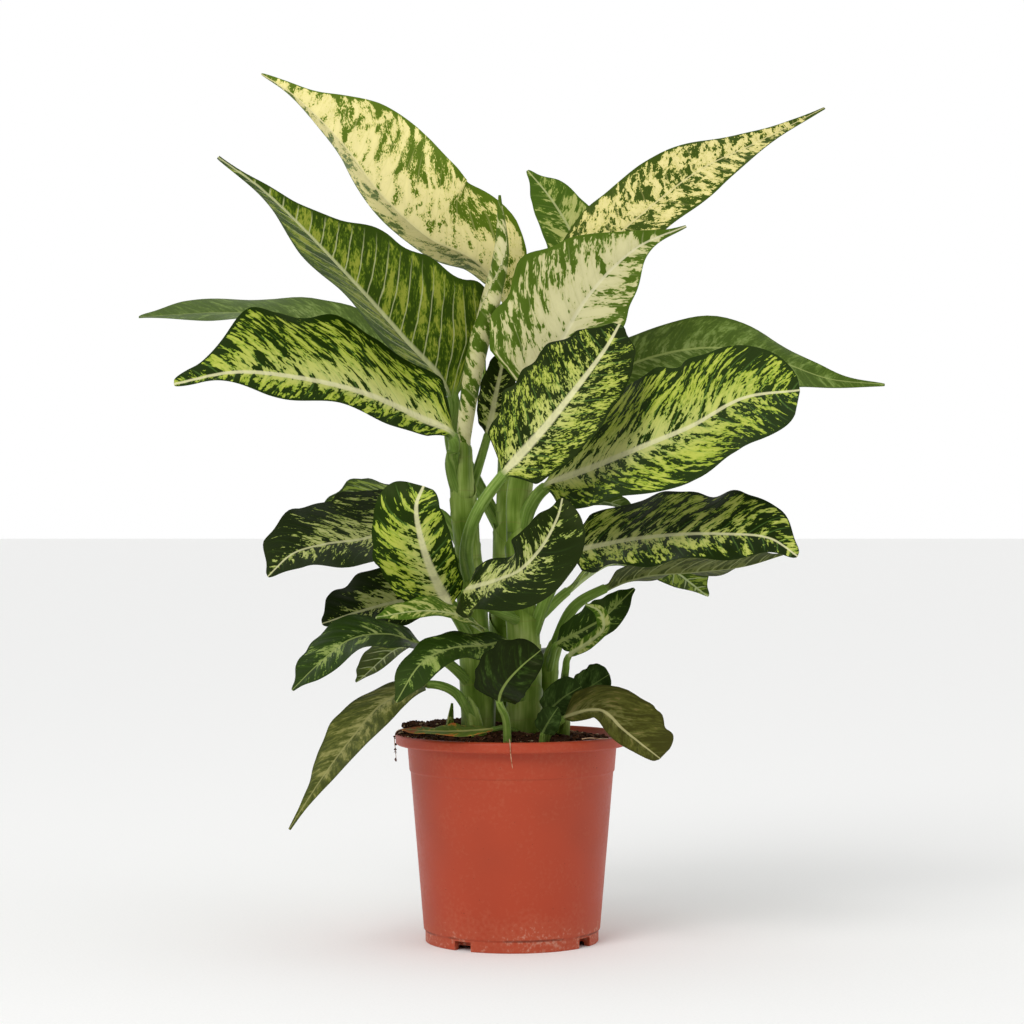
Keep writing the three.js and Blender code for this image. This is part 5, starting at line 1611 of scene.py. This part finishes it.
# ---- soil ----------------------------------------------------------------
@dataclass
class Soil:
    """Peat soil with a crumbled top, loose crumbs, fine roots and the spill over the lip. Sizes are in mm."""

    edge: float = 147.0
    mound: float = 9.0
    heap: float = 7.0
    heap_at: Span = (-34.0, 35.0)
    heap_spread: float = 34.0
    bank: float = 8.5  # how high the soil is banked against the lip
    bank_at: Span = (-66.0, 12.0)
    bank_spread: float = 27.0
    rim: float = 74.6
    mouth: float = 77.4  # radius over which the mound falls off
    rings: int = 44
    around: int = 150
    crumbs: int = 2600
    crumb_reach: float = 74.0
    spill: int = 560
    spill_side: Span = (174.0, 19.0)  # middle and spread, in degrees, of the spill over the lip
    spill_reach: Span = (70.0, 85.2)
    spill_ridge: Point = (78.0, 8.0, 2.6)  # radius, half width and height
    lip_inner: float = 81.6
    lip_top: float = 153.2
    strays: int = 70  # crumbs that lie singly on the rest of the lip
    stray_side: Span = (205.0, 350.0)
    stray_reach: Span = (78.0, 84.5)
    loose_roots: int = 46
    root_reach: float = 68.0
    root_edge: float = 73.0  # the loose roots stay inside this radius
    root_step: float = 3.2
    root_radius: Span = (0.42, 0.22)  # of the roots at the lip and of the loose ones
    walls: tuple[Span, ...] = ((72.6, 125), (62.4, 10.6), (58.9, 6.8))
    # Place, number of crumbs and spread of each clump that hangs from the thread at the left.
    clumps: tuple[tuple[float, float, float, int, float], ...] = (
        (-87.0, 3.5, 150.5, 8, 1.0), (-86.8, 3.2, 144.0, 4, 0.6), (-86.4, 3.0, 139.5, 9, 0.9),
        (-86.0, 3.3, 133.5, 6, 0.8),
    )
    lip_roots: tuple[tuple[Point, ...], ...] = (
        ((-2, -80, 155.0), (-1.5, -85.2, 153.8), (-1.2, -86.9, 149), (-0.6, -86.9, 142), (0.4, -86.8, 135)),
        ((-80, 4, 156), (-85.5, 4, 153.8), (-87.0, 3.5, 148), (-86.4, 3, 140), (-85.8, 3.4, 133)),
        ((50, -68, 154.4), (56, -64.5, 154.8), (62, -62.8, 154.2), (69, -58, 153.9)),
    )

    def height(self, x: float, y: float) -> float:
        """Finds the height of the soil's surface without its crumbs.

        Args:
            x: mm to the right.
            y: mm to the back.

        Returns:
            The height.
        """
        share = min(1.0, math.hypot(x, y) / self.mouth)
        heap = math.hypot(x - self.heap_at[0], y - self.heap_at[1]) / self.heap_spread
        bank = math.hypot(x - self.bank_at[0], y - self.bank_at[1]) / self.bank_spread
        low = math.sin(x * 0.19 + 1.3) * math.cos(y * 0.23) + 0.5 * math.sin(x * 0.31 - y * 0.27)
        heaped = self.heap * math.exp(-heap * heap) + self.bank * math.exp(-bank * bank)
        return self.edge + self.mound * math.cos(math.pi / 2 * share) + heaped + low

    def surface(self) -> bpy.types.Object:
        """Makes the filling with its crumbled top.

        Returns:
            The piece.
        """
        turns = circle(self.around)
        rows: list[list[Point]] = []
        for k in range(1, self.rings + 1):
            radius = self.rim * k / self.rings
            row = []
            for turn in turns:
                x, y = polar(radius, turn)
                fine = noise.fractal(Vector((x / 3.1, y / 3.1, 2.0)), 1.0, 2.0, 4) * 1.1
                row.append((x, y, self.height(x, y) + fine))
            rows.append(row)
        for radius, z in self.walls:
            rows.append([(*polar(radius, turn), z) for turn in turns])
        points = [p for row in rows for p in row] + [(0, 0, self.height(0, 0)), (0, 0, self.walls[-1][1])]
        faces = [tuple(reversed(face)) for face in turned_faces(len(rows), self.around)]
        tone = np.full(len(points), 0.33)
        return make_piece(
            "soil_filling", np.array(points), faces, PEAT, ("soil",), {"tone": tone}
        )

    def crumb_places(self, dice: random.Random) -> list[tuple[Point, float]]:
        """Scatters the crumbs over the top and the spill on the left of the lip.

        Args:
            dice: the seeded source of chance.

        Returns:
            The place and the size of each crumb.
        """
        found: list[tuple[Point, float]] = []
        for _ in range(self.crumbs):
            radius, turn = self.crumb_reach * math.sqrt(dice.random()), dice.uniform(0, 2 * math.pi)
            x, y = polar(radius, turn)
            size = 0.55 + 1.5 * dice.random() ** 3
            found.append(((x, y, self.height(x, y) + 0.2 * size), size))
        for _ in range(self.spill):
            turn = math.radians(dice.gauss(*self.spill_side))
            radius = dice.uniform(*self.spill_reach)
            middle, half, high = self.spill_ridge
            ridge = max(0.0, 1 - abs(radius - middle) / half) * dice.uniform(0, high)
            size = 0.6 + 1.6 * dice.random() ** 2
            edge = self.height(*polar(self.spill_reach[0], turn)) - 0.5
            ground = self.lip_top if radius > self.lip_inner else edge
            found.append(((*polar(radius, turn), ground + ridge), size))
        for x, y, z, count, spread in self.clumps:
            for _ in range(count):
                near = (x + dice.gauss(0, 0.4), y + dice.gauss(0, spread), z + dice.gauss(0, spread))
                found.append((near, 0.35 + 0.6 * dice.random()))
        for _ in range(self.strays):
            turn = math.radians(dice.uniform(*self.stray_side))
            radius = dice.uniform(*self.stray_reach)
            found.append(((*polar(radius, turn), self.lip_top), 0.3 + 0.5 * dice.random()))
        return found

    def loose(self, dice: random.Random) -> bpy.types.Object:
        """Makes the loose crumbs, each an uneven little stone of twenty faces.

        Args:
            dice: the seeded source of chance.

        Returns:
            The piece.
        """
        g = (1 + math.sqrt(5)) / 2
        ball = [Vector(p).normalized() for p in (
            (-1, g, 0), (1, g, 0), (-1, -g, 0), (1, -g, 0), (0, -1, g), (0, 1, g),
            (0, -1, -g), (0, 1, -g), (g, 0, -1), (g, 0, 1), (-g, 0, -1), (-g, 0, 1),
        )]
        sides = (
            (0, 11, 5), (0, 5, 1), (0, 1, 7), (0, 7, 10), (0, 10, 11), (1, 5, 9), (5, 11, 4),
            (11, 10, 2), (10, 7, 6), (7, 1, 8), (3, 9, 4), (3, 4, 2), (3, 2, 6), (3, 6, 8), (3, 8, 9),
            (4, 9, 5), (2, 4, 11), (6, 2, 10), (8, 6, 7), (9, 8, 1),
        )
        points, faces, tones = [], [], []
        for place, size in self.crumb_places(dice):
            offset = len(points)
            stretch = (dice.uniform(0.7, 1.5), dice.uniform(0.7, 1.3), dice.uniform(0.5, 0.9))
            turn = dice.uniform(0, math.pi)
            tone = dice.choice((0.1, 0.2, 0.3, 0.42, 0.55, 0.7)) if dice.random() > 0.035 else 1.1
            for corner in ball:
                far = size * dice.uniform(0.75, 1.15)
                x, y, z = (corner[i] * stretch[i] * far for i in range(3))
                points.append((
                    place[0] + x * math.cos(turn) - y * math.sin(turn),
                    place[1] + x * math.sin(turn) + y * math.cos(turn), place[2] + z,
                ))
                tones.append(tone)
            faces.extend(tuple(offset + i for i in side) for side in sides)
        layers = {"tone": np.array(tones)}
        return make_piece(
            "soil_crumbs", np.array(points), faces, PEAT, layers=layers, flat=True
        )

    def roots(self, dice: random.Random) -> bpy.types.Object:
        """Makes the fine roots on the soil and the ones that hang over the lip.

        Args:
            dice: the seeded source of chance.

        Returns:
            The piece.
        """
        lines = list(self.lip_roots)
        for _ in range(self.loose_roots):
            radius, turn = self.root_reach * math.sqrt(dice.random()), dice.uniform(0, 2 * math.pi)
            (x, y), way = polar(radius, turn), dice.uniform(0, 2 * math.pi)
            line = []
            for _ in range(5):
                line.append((x, y, self.height(x, y) + dice.uniform(0.2, 1.6)))
                way += dice.uniform(-0.8, 0.8)
                x, y = x + self.root_step * math.cos(way), y + self.root_step * math.sin(way)
            if max(math.hypot(p[0], p[1]) for p in line) < self.root_edge:
                lines.append(tuple(line))
        rows, faces, sides = [], [], 6
        angle = circle(sides)
        steep = np.array((0.31, 0.2, 0.93))
        for number, line in enumerate(lines):
            route = Route(line)
            count = max(8, int(route.length))
            thick = self.root_radius[0 if number < len(self.lip_roots) else 1]
            faces.extend(ring_faces(count + 1, sides, capped=True, offset=len(rows) * sides))
            for k in range(count + 1):
                radius = thick * (1 - 0.6 * k / count)
                rows.append(round_row(route, route.length * k / count, angle, radius, steep))
        return make_piece("soil_roots", np.vstack(rows), faces, ROOT)

    def build(self) -> None:
        """Makes the filling, the crumbs and the roots."""
        dice = random.Random(SEED)
        self.surface()
        self.loose(dice)
        self.roots(dice)


# ---- studio --------------------------------------------------------------
@dataclass
class Studio:
    """A white paper ground, soft boxes and a level camera two metres away. Sizes are in metres."""

    distance: float = 2.0
    eye: float = 0.3166
    lens: float = 95.0
    sensor: float = 36.0
    reach: float = 30.0

    def camera(self) -> None:
        """Sets up the camera, level and square to the plant."""
        data = bpy.data.cameras.new("camera")
        data.lens, data.sensor_width = self.lens, self.sensor
        camera = bpy.data.objects.new("camera", data)
        camera.location = (0, -self.distance, self.eye)
        camera.rotation_euler = (math.pi / 2, 0, 0)
        bpy.context.collection.objects.link(camera)
        bpy.context.scene.camera = camera

    def ground(self) -> None:
        """Lays the paper."""
        mesh = bpy.data.meshes.new("paper_ground")
        r = self.reach
        mesh.from_pydata([(-r, -r, 0), (r, -r, 0), (r, r, 0), (-r, r, 0)], [], [(0, 1, 2, 3)])
        mesh.materials.append(PAPER.material())
        paper = bpy.data.objects.new("paper_ground", mesh)
        bpy.context.collection.objects.link(paper)

    def light(self, name: str, place: Point, aim: Point, size: float, power: float) -> None:
        """Hangs one soft box.

        Args:
            name: its name.
            place: where it hangs.
            aim: where it points.
            size: the side of its square face.
            power: its power in watts.
        """
        data = bpy.data.lights.new(name, "AREA")
        data.size, data.energy = size, power
        box = bpy.data.objects.new(name, data)
        box.location = place
        box.rotation_euler = (Vector(aim) - Vector(place)).to_track_quat("-Z", "Y").to_euler()
        bpy.context.collection.objects.link(box)

    def sun(self, name: str, place: Point, spread: float, power: float) -> None:
        """Hangs one very large sheet of light, far away, so that the ground is lit evenly.

        Args:
            name: its name.
            place: the direction that it shines from.
            spread: how wide it looks, in degrees.
            power: its strength in watts a square metre.
        """
        data = bpy.data.lights.new(name, "SUN")
        data.angle, data.energy = math.radians(spread), power
        sheet = bpy.data.objects.new(name, data)
        sheet.rotation_euler = (-Vector(place)).to_track_quat("-Z", "Y").to_euler()
        bpy.context.collection.objects.link(sheet)

    def sky(self) -> None:
        """Surrounds the set with white paper light, dimmer on the side that the camera looks from."""
        world = bpy.data.worlds.new("studio")
        bpy.context.scene.world = world
        world.use_nodes = True
        tree = world.node_tree
        tree.nodes.clear()
        way = add(tree, "SeparateXYZ", {0: add(tree, "TexCoord")["Generated"]})
        ahead = add(tree, "MapRange", {0: way[1], 1: -0.5, 2: 0.3, 3: 0.36, 4: 1.0})[0]
        high = add(tree, "MapRange", {0: way[2], 1: 0.2, 2: 0.7, 3: 0.0, 4: 1.0})[0]
        glow = add(tree, "Mix", {0: high, 2: ahead, 3: 0.7}, data_type="FLOAT")[0]
        sky = add(tree, "Background", {"Color": linear("#FFFFFF"), "Strength": glow})
        add(tree, "OutputWorld", {"Surface": sky[0]})

    def build(self) -> None:
        """Sets up camera, ground, light and sky."""
        bpy.context.scene.view_settings.view_transform = "Standard"
        self.camera()
        self.ground()
        self.sky()
        middle = (0.0, 0.0, 0.3)
        self.sun("key_sheet", (-0.8, -1.4, 1.5), 34.0, 0.95)
        self.light("key_box", (-1.1, -1.9, 1.5), middle, 0.9, 9)
        self.light("fill_box", (2.1, -1.6, 1.1), middle, 1.4, 5)


def main() -> None:
    """Builds the plant, its pot and the studio."""
    logging.basicConfig(level=logging.INFO, format="%(name)s %(message)s")
    Studio().build()
    NurseryPot().build()
    Soil().build()
    for index, cane in enumerate(CANES):
        cane.build(index, LEAVES)
    for index, leaf in enumerate(LEAVES):
        leaf.build(index + 1)
    for index, spear in enumerate(SPEARS):
        spear.build(len(LEAVES) + 1 + index)


if __name__ == "__main__":
    main()
